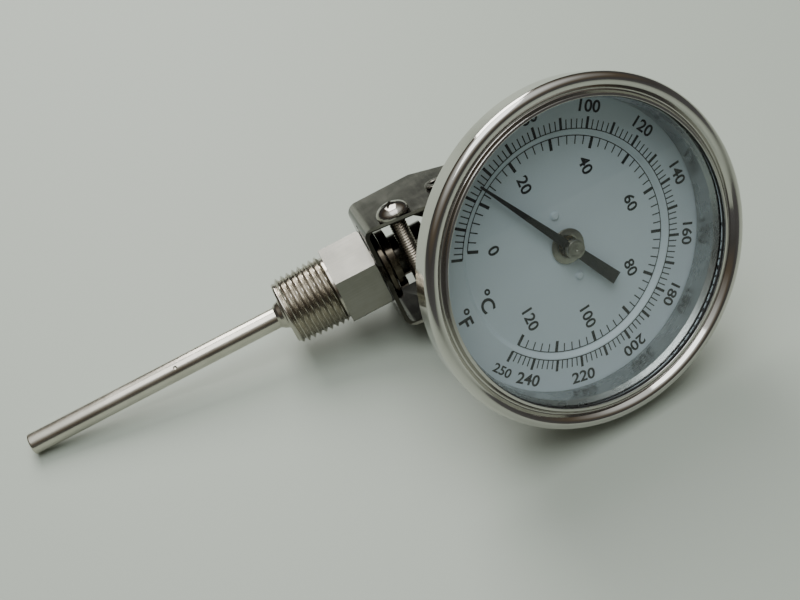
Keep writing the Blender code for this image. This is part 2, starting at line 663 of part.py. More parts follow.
def case():
    """Pressed cup with a flanged rim, drilled for the drive, the rivets and the reset screw."""
    corner = (CASE_RADIUS - CASE_CORNER, CASE_BACK + CASE_CORNER)
    flange = CASE_RADIUS + CASE_FLANGE
    profile = [(flange, CASE_RIM), (flange, CASE_RIM - CASE_WALL), (CASE_RADIUS, CASE_RIM - CASE_WALL)]
    profile += arc(corner, CASE_CORNER, 0, -90, 4)
    profile += [(CASE_HOLE, CASE_BACK), (CASE_HOLE, CASE_FLOOR)]
    profile += arc(corner, CASE_CORNER - CASE_WALL, -90, 0, 4)
    profile.append((CASE_BORE, CASE_RIM))
    cup = turned("case_cup", profile, polished, dial_axis, steps=ROUND, ring=True)
    for x, y in rivet_places():
        place = Matrix.Translation((x, y, 0))
        bore(cup, RIVET_RADIUS + FIT, CASE_BACK - MM, CASE_FLOOR + MM, place, SMALL)
    place = Matrix.Translation((0, -RESET_OFFSET, 0))
    bore(cup, RESET_RADIUS + FIT, CASE_BACK - MM, CASE_FLOOR + MM, place, SMALL)

    outside = CASE_BACK - FIT
    nut = plate("reset_screw", hexagon(RESET_FLATS), outside - RESET_HEIGHT, outside, brass, dial_axis, place)
    end = CASE_FLOOR + RESET_REACH
    low = outside - RESET_HEIGHT / 2
    shank = [(0, end), (RESET_RADIUS, end), (RESET_RADIUS, low), (0, low)]
    cut(nut, turned("reset_shank", shank, None, dial_axis, place, SMALL), "UNION")
    slot = [(-5 * MM, -0.5 * MM), (5 * MM, -0.5 * MM), (5 * MM, 0.5 * MM), (-5 * MM, 0.5 * MM)]
    deep = outside - RESET_HEIGHT
    cut(nut, plate("reset_slot", slot, deep - MM, deep + 0.9 * MM, None, dial_axis, place))


def bezel():
    """Rolled ring that holds the glass down on the case rim."""
    bead = (BEZEL_RADIUS - BEZEL_BEAD, LIP_TOP - BEZEL_BEAD_DROP)
    rear = BEZEL_RADIUS - BEZEL_DRAFT
    corner = (rear - BEZEL_REAR_CORNER, BEZEL_REAR + BEZEL_REAR_CORNER)
    groove = (BEZEL_LIP + BEZEL_GROOVE_IN, LIP_TOP - BEZEL_GROOVE)
    hem = CASE_RADIUS + FIT
    outer = [(BEZEL_LIP, LIP_TOP - BEZEL_SHEET / 2), (BEZEL_LIP + BEZEL_SHEET / 2, LIP_TOP)]
    outer += [(BEZEL_LIP + LIP_WIDTH, LIP_TOP - BEZEL_SHEET / 4), groove]
    outer += arc(bead, BEZEL_BEAD, 125, 0, 4)
    outer += arc(corner, BEZEL_REAR_CORNER, 0, -90, 2)
    outer.append((hem, BEZEL_REAR))
    inner = [(hem, BEZEL_REAR + BEZEL_SHEET), (rear - BEZEL_SHEET, BEZEL_REAR + BEZEL_SHEET)]
    inner += arc(bead, BEZEL_BEAD - BEZEL_SHEET, 0, 110, 3)
    inner += [(groove[0], groove[1] - BEZEL_SHEET), (BEZEL_LIP + LIP_WIDTH, LIP_BOTTOM), (BEZEL_LIP, LIP_BOTTOM)]
    turned("bezel_ring", outer + inner, polished, dial_axis, steps=ROUND, ring=True)


def window():
    """Glass, the gasket over it and the spacer ring under it."""
    low, high = GLASS_TOP - GLASS_THICKNESS, GLASS_TOP
    edge = 0.2 * MM
    turned(
        "glass",
        [
            (0, high),
            (INSIDE_RADIUS - edge, high),
            (INSIDE_RADIUS, high - edge),
            (INSIDE_RADIUS, low + edge),
            (INSIDE_RADIUS - edge, low),
            (0, low),
        ],
        clear,
        dial_axis,
        steps=ROUND,
    )
    inner = BEZEL_LIP - GASKET_SHOWS
    outer = BEZEL_LIP + LIP_WIDTH
    top = GASKET_BOTTOM + GASKET_THICKNESS
    gasket = [(outer, top), (outer, GASKET_BOTTOM), (inner, GASKET_BOTTOM), (inner, top)]
    turned("gasket", gasket, rubber, dial_axis, steps=ROUND, ring=True)
    top = low - FIT
    spacer = [(INSIDE_RADIUS, top), (INSIDE_RADIUS, FIT), (SPACER_BORE, FIT)]
    spacer += [(SPACER_BORE, top - SPACER_CHAMFER), (SPACER_BORE + SPACER_CHAMFER, top)]
    turned("spacer_ring", spacer, satin, dial_axis, steps=ROUND, ring=True)


def dial():
    """The dished dial, the bearing boss behind it and what fixes the two together."""
    hole = BOSS_NECK + FIT
    profile = [(INSIDE_RADIUS, 0), (INSIDE_RADIUS, -DIAL_SHEET), (DISH_OUTER, -DIAL_SHEET)]
    profile += [(DISH_INNER, DISH_TOP - DIAL_SHEET), (hole, DISH_TOP - DIAL_SHEET), (hole, DISH_TOP)]
    profile += [(DISH_INNER, DISH_TOP), (DISH_OUTER, 0)]
    face = turned("dial_plate", profile, white_print, dial_axis, steps=ROUND, ring=True)
    washer_top = CENTRE_WASHER_BOTTOM + CENTRE_WASHER_HEIGHT
    neck_top = washer_top + 0.4 * MM
    bearing = ARBOR_RADIUS + FIT
    boss = turned(
        "bearing_boss",
        [
            (BOSS_NECK, neck_top),
            (BOSS_NECK, BOSS_TOP),
            (BOSS_RADIUS, BOSS_TOP),
            (BOSS_RADIUS, BOSS_BOTTOM),
            (bearing, BOSS_BOTTOM),
            (bearing, neck_top),
        ],
        brass,
        dial_axis,
        steps=MIDDLE,
        ring=True,
    )
    edge = 0.15 * MM
    turned(
        "centre_washer",
        [
            (CENTRE_WASHER_RADIUS - edge, washer_top),
            (CENTRE_WASHER_RADIUS, washer_top - edge),
            (CENTRE_WASHER_RADIUS, CENTRE_WASHER_BOTTOM),
            (hole, CENTRE_WASHER_BOTTOM),
            (hole, washer_top),
        ],
        polished,
        dial_axis,
        steps=MIDDLE,
        ring=True,
    )
    head_low = DISH_TOP + FIT
    screw = [
        (0, head_low + 0.5 * MM),
        (DIAL_SCREW_HEAD * 0.7, head_low + 0.45 * MM),
        (DIAL_SCREW_HEAD, head_low + 0.15 * MM),
        (DIAL_SCREW_HEAD, head_low),
        (DIAL_SCREW_RADIUS, head_low),
        (DIAL_SCREW_RADIUS, BOSS_TOP - 2 * MM),
        (0, BOSS_TOP - 2 * MM),
    ]
    for name, x in (("dial_screw_left", -DIAL_SCREW_OFFSET), ("dial_screw_right", DIAL_SCREW_OFFSET)):
        place = Matrix.Translation((x, 0, 0))
        bore(face, DIAL_SCREW_RADIUS + FIT, DISH_TOP - DIAL_SHEET - MM, DISH_TOP + MM, place, 12)
        bore(boss, DIAL_SCREW_RADIUS + FIT, BOSS_TOP - 2.5 * MM, BOSS_TOP + MM, place, 12)
        turned(name, screw, polished, dial_axis, place, SMALL)


def pointer():
    """Pointer, hub and arbor, turned together to the rest reading."""
    turn = Matrix.Rotation(-REST_READING, 4, "Z")
    tip, tail = POINTER_TIP_WIDTH / 2, POINTER_TAIL_WIDTH / 2
    outline = [(-tip, POINTER_TIP), (-tail, -POINTER_TAIL), (tail, -POINTER_TAIL), (tip, POINTER_TIP)]
    needle = plate("pointer", outline, POINTER_HEIGHT, POINTER_TOP, black_paint, dial_axis, turn)
    hole = ARBOR_RADIUS + FIT
    pad = [(HUB_RADIUS, POINTER_TOP), (HUB_RADIUS, POINTER_HEIGHT), (hole, POINTER_HEIGHT), (hole, POINTER_TOP)]
    bore(needle, hole + 0.2 * MM, POINTER_HEIGHT - MM, POINTER_TOP + MM)
    cut(needle, turned("pointer_eye", pad, None, dial_axis, steps=SMALL, ring=True), "UNION")
    top = HUB_BOTTOM + HUB_HEIGHT
    turned(
        "pointer_hub",
        [
            (0, top - 0.35 * MM),
            (HUB_RADIUS * 0.3, top - 0.1 * MM),
            (HUB_RADIUS * 0.45, top),
            (HUB_RADIUS - 0.3 * MM, top),
            (HUB_RADIUS, top - 0.3 * MM),
            (HUB_RADIUS, HUB_BOTTOM),
            (hole, HUB_BOTTOM),
            (hole, ARBOR_TOP + FIT),
            (0, ARBOR_TOP + FIT),
        ],
        dark_steel,
        dial_axis,
    )
    turned(
        "pointer_arbor",
        [(0, ARBOR_TOP), (ARBOR_RADIUS, ARBOR_TOP), (ARBOR_RADIUS, ARBOR_BOTTOM), (0, ARBOR_BOTTOM)],
        polished,
        dial_axis,
        steps=12,
    )


def collar(name, material, parent, bottom, hole):
    top = bottom + COLLAR_LENGTH
    profile = [(COLLAR_RADIUS, top), (COLLAR_RADIUS, bottom), (hole, bottom), (hole, top)]
    turned(name, profile, material, parent, ring=True)


def flexible_drive():
    """Wound spring that carries the turn round the bend, and the collars at its two ends."""
    shaft_collar_top = SHAFT_TOP - COLLAR_OVERLAP + COLLAR_LENGTH
    arbor_collar_bottom = ARBOR_BOTTOM + COLLAR_OVERLAP - COLLAR_LENGTH
    collar("shaft_collar", brass, None, shaft_collar_top - COLLAR_LENGTH, SHAFT_RADIUS + FIT)
    collar("arbor_collar", brass, dial_axis, arbor_collar_bottom, ARBOR_RADIUS + FIT)
    bpy.context.view_layer.update()
    to_world = dial_axis.matrix_world
    start = Vector((0, 0, shaft_collar_top + FIT))
    end = to_world @ Vector((0, 0, arbor_collar_bottom - FIT))
    outward = (to_world.to_3x3() @ Vector((0, 0, 1))).normalized()
    pull = 0.45 * (end - start).length
    handles = (start, start + Vector((0, 0, pull)), end - outward * pull, end)
    points = []
    for i in range(17):
        t = i / 16
        weights = ((1 - t) ** 3, 3 * t * (1 - t) ** 2, 3 * t * t * (1 - t), t**3)
        points.append(sum((w * h for w, h in zip(weights, handles)), Vector()))
    wire("flexible_drive_spring", points, COUPLING_RADIUS, satin, 2)


fitting()
stem()
swivel_stack()
stem_bracket()
clamp()
case_bracket()
case()
bezel()
window()
dial()
pointer()
flexible_drive()

for part in parts.objects:
    if part.type == "MESH":
        part.data.shade_smooth()
        part.data.set_sharp_from_angle(angle=math.radians(35))
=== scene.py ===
import json
import math

import bmesh
import bpy
from mathutils import Matrix, Vector


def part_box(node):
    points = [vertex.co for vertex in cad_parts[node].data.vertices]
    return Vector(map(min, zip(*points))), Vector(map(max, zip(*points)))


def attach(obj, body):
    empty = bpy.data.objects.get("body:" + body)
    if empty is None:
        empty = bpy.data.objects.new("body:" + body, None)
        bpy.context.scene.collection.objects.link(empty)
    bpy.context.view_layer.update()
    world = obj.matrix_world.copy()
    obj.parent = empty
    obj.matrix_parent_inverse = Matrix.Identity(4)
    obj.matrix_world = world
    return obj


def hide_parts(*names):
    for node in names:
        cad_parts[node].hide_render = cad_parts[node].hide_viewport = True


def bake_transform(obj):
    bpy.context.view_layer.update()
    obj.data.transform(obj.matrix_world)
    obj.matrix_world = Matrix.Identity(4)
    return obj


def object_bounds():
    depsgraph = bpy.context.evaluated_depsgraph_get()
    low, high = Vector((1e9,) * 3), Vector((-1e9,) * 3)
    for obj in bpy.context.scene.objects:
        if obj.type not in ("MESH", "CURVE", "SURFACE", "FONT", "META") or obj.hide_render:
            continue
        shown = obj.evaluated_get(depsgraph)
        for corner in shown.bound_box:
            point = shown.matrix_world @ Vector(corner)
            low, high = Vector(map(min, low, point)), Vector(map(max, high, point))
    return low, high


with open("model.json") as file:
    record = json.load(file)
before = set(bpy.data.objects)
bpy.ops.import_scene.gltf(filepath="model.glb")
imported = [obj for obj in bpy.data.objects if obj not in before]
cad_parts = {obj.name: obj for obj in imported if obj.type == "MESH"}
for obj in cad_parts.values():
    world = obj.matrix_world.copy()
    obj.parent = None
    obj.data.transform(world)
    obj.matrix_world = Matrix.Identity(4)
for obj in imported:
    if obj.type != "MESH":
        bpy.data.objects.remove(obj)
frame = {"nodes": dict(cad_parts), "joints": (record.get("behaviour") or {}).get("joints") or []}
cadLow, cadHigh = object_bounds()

mm = 0.001
joints = {joint["name"]: joint for joint in frame["joints"]}
print("frame loaded:", len(frame["nodes"]), "nodes")


def axisFrame(origin, out, up):
    # Z runs along out, Y is as near to up as it can be
    z = Vector(out).normalized()
    x = Vector(up).cross(z).normalized()
    y = z.cross(x)
    turn = Matrix((x, y, z)).transposed().to_4x4()
    return Matrix.Translation(Vector(origin)) @ turn


dialOut = -Vector(joints["pointer_turn"]["axis"])
dialFrame = axisFrame(joints["pointer_turn"]["pos_m"], dialOut, (0, 0, 1))
pivotFrame = axisFrame(joints["head_tilt"]["pos_m"], (1, 0, 0), (0, 0, 1))
clampFrame = axisFrame(joints["clamp_screw_turn"]["pos_m"], (1, 0, 0), (0, 0, 1))
resetFrame = axisFrame(joints["reset_screw_turn"]["pos_m"], dialOut, (0, 0, 1))

shot = {
    "lens": 58.56,
    "place": (-0.14469, -0.34859, -0.00305),
    "right": (0.40323, -0.22828, 0.88617),
    "up": (-0.81717, 0.34604, 0.46097),
    "back": (-0.41188, -0.91002, -0.04701),
}

cameraData = bpy.data.cameras.new("camera")
cameraData.lens = shot["lens"]
cameraData.sensor_width = 36
cameraData.clip_start = 0.01
camera = bpy.data.objects.new("camera", cameraData)
bpy.context.scene.collection.objects.link(camera)
cameraTurn = Matrix((shot["right"], shot["up"], shot["back"])).transposed().to_4x4()
camera.matrix_world = Matrix.Translation(shot["place"]) @ cameraTurn
bpy.context.scene.camera = camera

table = {
    "up": (-0.9239, -0.3554, 0.1417),  # the gauge lies on its stem tip, bezel and bracket corner
    "half": 2.4,
    "colour": (0.402, 0.448, 0.392),
}

tableUp = Vector(table["up"]).normalized()
tubeLow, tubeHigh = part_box("stem_tube")
tableHeight = tubeLow[2] * tableUp.z - tubeHigh[0] * math.hypot(tableUp.x, tableUp.y) - 0.2 * mm
print("camera and table placed")


def link(tree, start, end):
    tree.links.new(start, end)


def groupWith(name, inputs, outputs):
    tree = bpy.data.node_groups.new(name, "ShaderNodeTree")
    for title, kind, value in inputs:
        socket = tree.interface.new_socket(name=title, in_out="INPUT", socket_type=kind)
        if value is not None:
            socket.default_value = value
    for title, kind in outputs:
        tree.interface.new_socket(name=title, in_out="OUTPUT", socket_type=kind)
    return tree, tree.nodes.new("NodeGroupInput"), tree.nodes.new("NodeGroupOutput")


def mathNode(tree, operation, first, second):
    node = tree.nodes.new("ShaderNodeMath")
    node.operation = operation
    for socket, value in zip(node.inputs, (first, second)):
        if isinstance(value, (int, float)):
            socket.default_value = value
        else:
            link(tree, value, socket)
    return node.outputs[0]


def buildGrain():
    # long scratches of a wheel or a belt, drawn out along one axis
    tree, given, made = groupWith(
        "drawnGrain",
        [("Stretch", "NodeSocketVector", (1, 1, 1)), ("Depth", "NodeSocketFloat", 1.0)],
        [("Height", "NodeSocketFloat"), ("Mask", "NodeSocketFloat")],
    )
    place = tree.nodes.new("ShaderNodeTexCoord")
    scaled = tree.nodes.new("ShaderNodeVectorMath")
    scaled.operation = "MULTIPLY"
    link(tree, place.outputs["Object"], scaled.inputs[0])
    link(tree, given.outputs["Stretch"], scaled.inputs[1])
    fine = tree.nodes.new("ShaderNodeTexNoise")
    fine.inputs["Scale"].default_value = 1.0
    fine.inputs["Detail"].default_value = 5.0
    fine.inputs["Roughness"].default_value = 0.7
    link(tree, scaled.outputs[0], fine.inputs["Vector"])
    spread = tree.nodes.new("ShaderNodeMapRange")
    spread.inputs["From Min"].default_value = 0.3
    spread.inputs["From Max"].default_value = 0.7
    link(tree, fine.outputs["Fac"], spread.inputs["Value"])
    link(tree, spread.outputs[0], made.inputs["Mask"])
    link(tree, mathNode(tree, "MULTIPLY", spread.outputs[0], given.outputs["Depth"]), made.inputs["Height"])
    return tree


def buildHandling():
    # cloudy patches left by fingers and cleaning, with a few small specks
    tree, given, made = groupWith(
        "handling",
        [("Size", "NodeSocketFloat", 120.0), ("Specks", "NodeSocketFloat", 900.0)],
        [("Cloud", "NodeSocketFloat"), ("Speck", "NodeSocketFloat")],
    )
    place = tree.nodes.new("ShaderNodeTexCoord")
    cloud = tree.nodes.new("ShaderNodeTexNoise")
    cloud.inputs["Detail"].default_value = 4.0
    link(tree, place.outputs["Object"], cloud.inputs["Vector"])
    link(tree, given.outputs["Size"], cloud.inputs["Scale"])
    spread = tree.nodes.new("ShaderNodeMapRange")
    spread.inputs["From Min"].default_value = 0.35
    spread.inputs["From Max"].default_value = 0.68
    link(tree, cloud.outputs["Fac"], spread.inputs["Value"])
    link(tree, spread.outputs[0], made.inputs["Cloud"])
    dots = tree.nodes.new("ShaderNodeTexVoronoi")
    link(tree, place.outputs["Object"], dots.inputs["Vector"])
    link(tree, given.outputs["Specks"], dots.inputs["Scale"])
    small = tree.nodes.new("ShaderNodeMapRange")
    small.inputs["From Min"].default_value = 0.16
    small.inputs["From Max"].default_value = 0.05
    link(tree, dots.outputs["Distance"], small.inputs["Value"])
    link(tree, small.outputs[0], made.inputs["Speck"])
    return tree


def buildEarShade():
    # paints dark what is nearer the middle than half, for the shade between a bracket's ears
    tree, given, made = groupWith(
        "earShade",
        [("Colour", "NodeSocketColor", None), ("Half", "NodeSocketFloat", 0.015)],
        [("Colour", "NodeSocketColor")],
    )
    place = tree.nodes.new("ShaderNodeTexCoord")
    parts = tree.nodes.new("ShaderNodeSeparateXYZ")
    link(tree, place.outputs["Object"], parts.inputs[0])
    across = mathNode(tree, "ABSOLUTE", parts.outputs["X"], 0.0)
    mix = tree.nodes.new("ShaderNodeMix")
    mix.data_type = "RGBA"
    mix.inputs[7].default_value = (0.045, 0.042, 0.035, 1)
    link(tree, given.outputs["Colour"], mix.inputs[6])
    link(tree, mathNode(tree, "LESS_THAN", across, given.outputs["Half"]), mix.inputs[0])
    link(tree, mix.outputs[2], made.inputs["Colour"])
    return tree


grainGroup = buildGrain()
handlingGroup = buildHandling()
earShadeGroup = buildEarShade()


def placed(tree, group, **values):
    node = tree.nodes.new("ShaderNodeGroup")
    node.node_tree = group
    for title, value in values.items():
        node.inputs[title].default_value = value
    return node


def blendColours(tree, mask, low, high):
    mix = tree.nodes.new("ShaderNodeMix")
    mix.data_type = "RGBA"
    mix.inputs[6].default_value = (*low, 1)
    mix.inputs[7].default_value = (*high, 1)
    link(tree, mask, mix.inputs[0])
    return mix.outputs[2]


def between(tree, mask, low, high):
    spread = tree.nodes.new("ShaderNodeMapRange")
    spread.inputs["To Min"].default_value = low
    spread.inputs["To Max"].default_value = high
    link(tree, mask, spread.inputs["Value"])
    return spread.outputs[0]


def finish(name, look):
    # one surface: colour and roughness drift with handling, a bracket also gets painted shade between its
    # ears, the bump comes from the drawn grain
    material = bpy.data.materials.new(name)
    material.use_nodes = True
    tree = material.node_tree
    shader = tree.nodes["Principled BSDF"]
    shader.inputs["Metallic"].default_value = look.get("metallic", 1.0)
    handling = placed(tree, handlingGroup, Size=look.get("cloud", 120.0), Specks=look.get("specks", 900.0))
    grain = placed(tree, grainGroup, Stretch=look.get("stretch", (400, 400, 400)), Depth=1.0)
    mask = mathNode(tree, "MULTIPLY", handling.outputs["Cloud"], 0.6)
    mask = mathNode(tree, "ADD", mask, mathNode(tree, "MULTIPLY", grain.outputs["Mask"], 0.4))
    colour = blendColours(tree, mask, look["dark"], look["light"])
    # painted shade: a bracket's faces between its ears are painted dark
    if "inside" in look:
        shade = placed(tree, earShadeGroup, Half=look["inside"] * mm)
        link(tree, colour, shade.inputs["Colour"])
        colour = shade.outputs["Colour"]
    link(tree, colour, shader.inputs["Base Color"])
    link(tree, between(tree, mask, *look["rough"]), shader.inputs["Roughness"])
    bump = tree.nodes.new("ShaderNodeBump")
    bump.inputs["Strength"].default_value = look.get("bump", 0.1)
    bump.inputs["Distance"].default_value = look.get("relief", 0.02) * mm
    link(tree, grain.outputs["Height"], bump.inputs["Height"])
    link(tree, bump.outputs[0], shader.inputs["Normal"])
    for socket, value in look.get("also", {}).items():
        shader.inputs[socket].default_value = value
    return material


# inside is the half width, in mm, within which a bracket is painted dark as painted shade between its ears
looks = {
    "polishedStainless": {"dark": (0.46, 0.44, 0.41), "light": (0.60, 0.58, 0.55), "rough": (0.07, 0.16),
                          "stretch": (300, 300, 2600), "bump": 0.04},
    "bezelStainless": {"dark": (0.52, 0.505, 0.47), "light": (0.63, 0.615, 0.58), "rough": (0.06, 0.11),
                       "stretch": (120, 120, 5200), "bump": 0.02, "cloud": 60.0},
    "millStainless": {"dark": (0.22, 0.215, 0.19), "light": (0.34, 0.33, 0.295), "rough": (0.26, 0.40),
                      "stretch": (3600, 3600, 90), "bump": 0.3, "relief": 0.03},
    "turnedStainless": {"dark": (0.42, 0.395, 0.34), "light": (0.58, 0.545, 0.48), "rough": (0.16, 0.26),
                        "stretch": (200, 200, 2600), "bump": 0.04},
    "stemStainless": {"dark": (0.53, 0.505, 0.435), "light": (0.67, 0.64, 0.565), "rough": (0.17, 0.25),
                      "stretch": (2400, 2400, 40), "bump": 0.08},
    "pressedStainless": {"dark": (0.16, 0.152, 0.135), "light": (0.30, 0.285, 0.255), "rough": (0.13, 0.24),
                         "stretch": (500, 90, 1500), "bump": 0.08, "cloud": 160.0, "inside": 15.4},
    "shadedStainless": {"dark": (0.055, 0.047, 0.036), "light": (0.11, 0.095, 0.072), "rough": (0.12, 0.20),
                        "stretch": (300, 300, 2600), "bump": 0.04},
    "rivetStainless": {"dark": (0.15, 0.142, 0.125), "light": (0.26, 0.248, 0.22), "rough": (0.2, 0.3),
                       "stretch": (300, 300, 2600), "bump": 0.04},
    # screwHeadStainless is painted shade: a darker copy of stainless so the clamp screw's cross recess
    # stays dark
    "screwHeadStainless": {"dark": (0.30, 0.285, 0.255), "light": (0.44, 0.42, 0.38), "rough": (0.10, 0.18),
                           "stretch": (300, 300, 2600), "bump": 0.04},
    "hubStainless": {"dark": (0.25, 0.235, 0.20), "light": (0.33, 0.315, 0.275), "rough": (0.20, 0.27),
                     "stretch": (20, 20, 3000), "bump": 0.01},
    "spacerStainless": {"dark": (0.36, 0.37, 0.37), "light": (0.46, 0.47, 0.47), "rough": (0.24, 0.32),
                        "stretch": (300, 300, 3000), "bump": 0.12},
    "screwSteel": {"dark": (0.20, 0.18, 0.15), "light": (0.38, 0.34, 0.28), "rough": (0.18, 0.30),
                   "stretch": (700, 700, 700), "bump": 0.08},
    "springSteel": {"dark": (0.22, 0.21, 0.19), "light": (0.40, 0.38, 0.35), "rough": (0.24, 0.38),
                    "stretch": (700, 700, 700), "bump": 0.1},
    "turnedBrass": {"dark": (0.46, 0.32, 0.13), "light": (0.66, 0.50, 0.24), "rough": (0.20, 0.34),
                    "stretch": (300, 300, 2500), "bump": 0.1},
    "bimetalStrip": {"dark": (0.30, 0.26, 0.21), "light": (0.52, 0.44, 0.34), "rough": (0.3, 0.45),
                     "stretch": (600, 600, 600), "bump": 0.15},
    "dialEnamel": {"dark": (0.575, 0.635, 0.715), "light": (0.62, 0.685, 0.765), "rough": (0.4, 0.5),
                   "metallic": 0.0, "stretch": (2200, 2200, 2200), "bump": 0.03, "relief": 0.01,
                   "cloud": 45.0},
    "printBlack": {"dark": (0.006, 0.007, 0.009), "light": (0.012, 0.013, 0.016), "rough": (0.5, 0.6),
                   "metallic": 0.0, "stretch": (2600, 2600, 2600), "bump": 0.03,
                   "also": {"Specular IOR Level": 0.2}},
    "pointerBlack": {"dark": (0.005, 0.006, 0.007), "light": (0.012, 0.013, 0.014), "rough": (0.35, 0.45),
                     "metallic": 0.0, "stretch": (1500, 1500, 1500), "bump": 0.05,
                     "also": {"Specular IOR Level": 0.25}},
    "gasketRubber": {"dark": (0.018, 0.018, 0.018), "light": (0.04, 0.04, 0.039), "rough": (0.5, 0.7),
                     "metallic": 0.0, "stretch": (900, 900, 900), "bump": 0.2},
}
looks["caseBracketStainless"] = {**looks["pressedStainless"], "inside": 13.9}
made = {name: finish(name, look) for name, look in looks.items()}


def windowGlass():
    # light falls through to the dial, and the eye sees the clear plate's own reflections
    material = bpy.data.materials.new("windowGlass")
    material.use_nodes = True
    tree = material.node_tree
    shader = tree.nodes["Principled BSDF"]
    shader.inputs["Base Color"].default_value = (0.93, 0.97, 0.96, 1)
    shader.inputs["Metallic"].default_value = 0.0
    shader.inputs["Transmission Weight"].default_value = 1.0
    shader.inputs["IOR"].default_value = 1.5
    shader.inputs["Specular IOR Level"].default_value = 0.12
    handling = placed(tree, handlingGroup, Size=40.0, Specks=600.0)
    link(tree, between(tree, handling.outputs["Cloud"], 0.0, 0.006), shader.inputs["Roughness"])
    clear = tree.nodes.new("ShaderNodeBsdfTransparent")
    clear.inputs["Color"].default_value = (0.92, 0.95, 0.94, 1)
    path = tree.nodes.new("ShaderNodeLightPath")
    either = tree.nodes.new("ShaderNodeMixShader")
    passes = mathNode(tree, "MAXIMUM", path.outputs["Is Shadow Ray"], path.outputs["Is Diffuse Ray"])
    link(tree, passes, either.inputs[0])
    link(tree, shader.outputs[0], either.inputs[1])
    link(tree, clear.outputs[0], either.inputs[2])
    link(tree, either.outputs[0], tree.nodes["Material Output"].inputs["Surface"])
    return material


made["windowGlass"] = windowGlass()
print("finishes made:", len(made))


def show(name, mesh, body, look, place=None, stands=()):
    piece = bpy.data.objects.new(name, mesh)
    bpy.context.scene.collection.objects.link(piece)
    piece.matrix_world = place or Matrix()
    mesh.materials.clear()
    mesh.materials.append(made[look])
    weighed = piece.modifiers.new("flatness", "WEIGHTED_NORMAL")
    weighed.keep_sharp = True
    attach(piece, body)
    if stands:
        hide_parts(*stands)
    return piece


def meshOf(name, build, sharp=38):
    work = bmesh.new()
    build(work)
    bmesh.ops.remove_doubles(work, verts=work.verts, dist=0.0005 * mm)
    bmesh.ops.recalc_face_normals(work, faces=work.faces)
    mesh = bpy.data.meshes.new(name)
    work.to_mesh(mesh)
    work.free()
    mesh.shade_smooth()
    mesh.set_sharp_from_angle(angle=math.radians(sharp))
    return mesh


def eased(points, radius, steps=4, closed=True):
    # each corner of an outline becomes a small arc, limited by its sides
    result = []
    count = len(points)
    for i, corner in enumerate(points):
        if not closed and i in (0, count - 1):
            result.append(corner)
            continue
        here = Vector(corner)
        before = Vector(points[i - 1]) - here
        after = Vector(points[(i + 1) % count]) - here
        opening = before.angle(after)
        if opening > math.radians(170):
            result.append(corner)
            continue
        back = min(radius / math.tan(opening / 2), 0.45 * before.length, 0.45 * after.length)
        start, end = here + before.normalized() * back, here + after.normalized() * back
        for k in range(steps + 1):
            t = k / steps
            point = start * (1 - t) ** 2 + here * 2 * t * (1 - t) + end * t * t
            result.append((point.x, point.y))
    return result


def arcPoints(centre, radius, start, end, count):
    angles = [math.radians(start + (end - start) * i / count) for i in range(count + 1)]
    return [(centre[0] + radius * math.cos(a), centre[1] + radius * math.sin(a)) for a in angles]


def lathe(name, profile, steps=96, ease=0.12, closed=True):
    # profile points are (radius, height) in mm; one that touches the axis at both ends isn't closed
    outline = eased(profile, ease, closed=closed)

    def build(work):
        rings = []
        for i in range(steps):
            turn = 2 * math.pi * i / steps
            c, s = math.cos(turn) * mm, math.sin(turn) * mm
            rings.append([work.verts.new((r * c, r * s, h * mm)) for r, h in outline])
        last = len(outline) if closed else len(outline) - 1
        for i in range(steps):
            here, after = rings[i], rings[(i + 1) % steps]
            for k in range(last):
                j = (k + 1) % len(outline)
                work.faces.new((here[k], after[k], after[j], here[j]))
        bmesh.ops.remove_doubles(work, verts=work.verts, dist=0.0005 * mm)
        bmesh.ops.dissolve_degenerate(work, edges=work.edges, dist=0.0002 * mm)

    return meshOf(name, build)


def prism(name, outline, low, high, place=None):
    # outline points in mm, solid from low to high along Z of place
    def build(work):
        bottom = [work.verts.new((x * mm, y * mm, low * mm)) for x, y in outline]
        top = [work.verts.new((x * mm, y * mm, high * mm)) for x, y in outline]
        work.faces.new(bottom)
        work.faces.new(top)
        for i in range(len(outline)):
            j = (i + 1) % len(outline)
            work.faces.new((bottom[i], bottom[j], top[j], top[i]))
        if place:
            bmesh.ops.transform(work, matrix=place, verts=work.verts)

    return meshOf(name, build)


def rod(name, radius, low, high, place, steps=64):
    return prism(name, arcPoints((0, 0), radius, 0, 360 - 360 / steps, steps - 1), low, high, place)


def carved(mesh, steps, bevel=0.0, segments=3):
    # steps are (operation, mesh) pairs, in the same frame as the first mesh
    body = bpy.data.objects.new("blank", mesh)
    bpy.context.scene.collection.objects.link(body)
    helpers = []
    for operation, cutter in steps:
        helper = bpy.data.objects.new("cutter", cutter)
        bpy.context.scene.collection.objects.link(helper)
        helpers.append(helper)
        modifier = body.modifiers.new("cut", "BOOLEAN")
        modifier.operation = operation
        modifier.object = helper
    if bevel:
        modifier = body.modifiers.new("edge", "BEVEL")
        modifier.width = bevel * mm
        modifier.segments = segments
        modifier.limit_method = "ANGLE"
        modifier.angle_limit = math.radians(35)
        modifier.use_clamp_overlap = True
    bpy.context.view_layer.update()
    result = bpy.data.meshes.new_from_object(body.evaluated_get(bpy.context.evaluated_depsgraph_get()))
    for helper in (*helpers, body):
        bpy.data.objects.remove(helper, do_unlink=True)
    result.shade_smooth()
    result.set_sharp_from_angle(angle=math.radians(38))
    return result


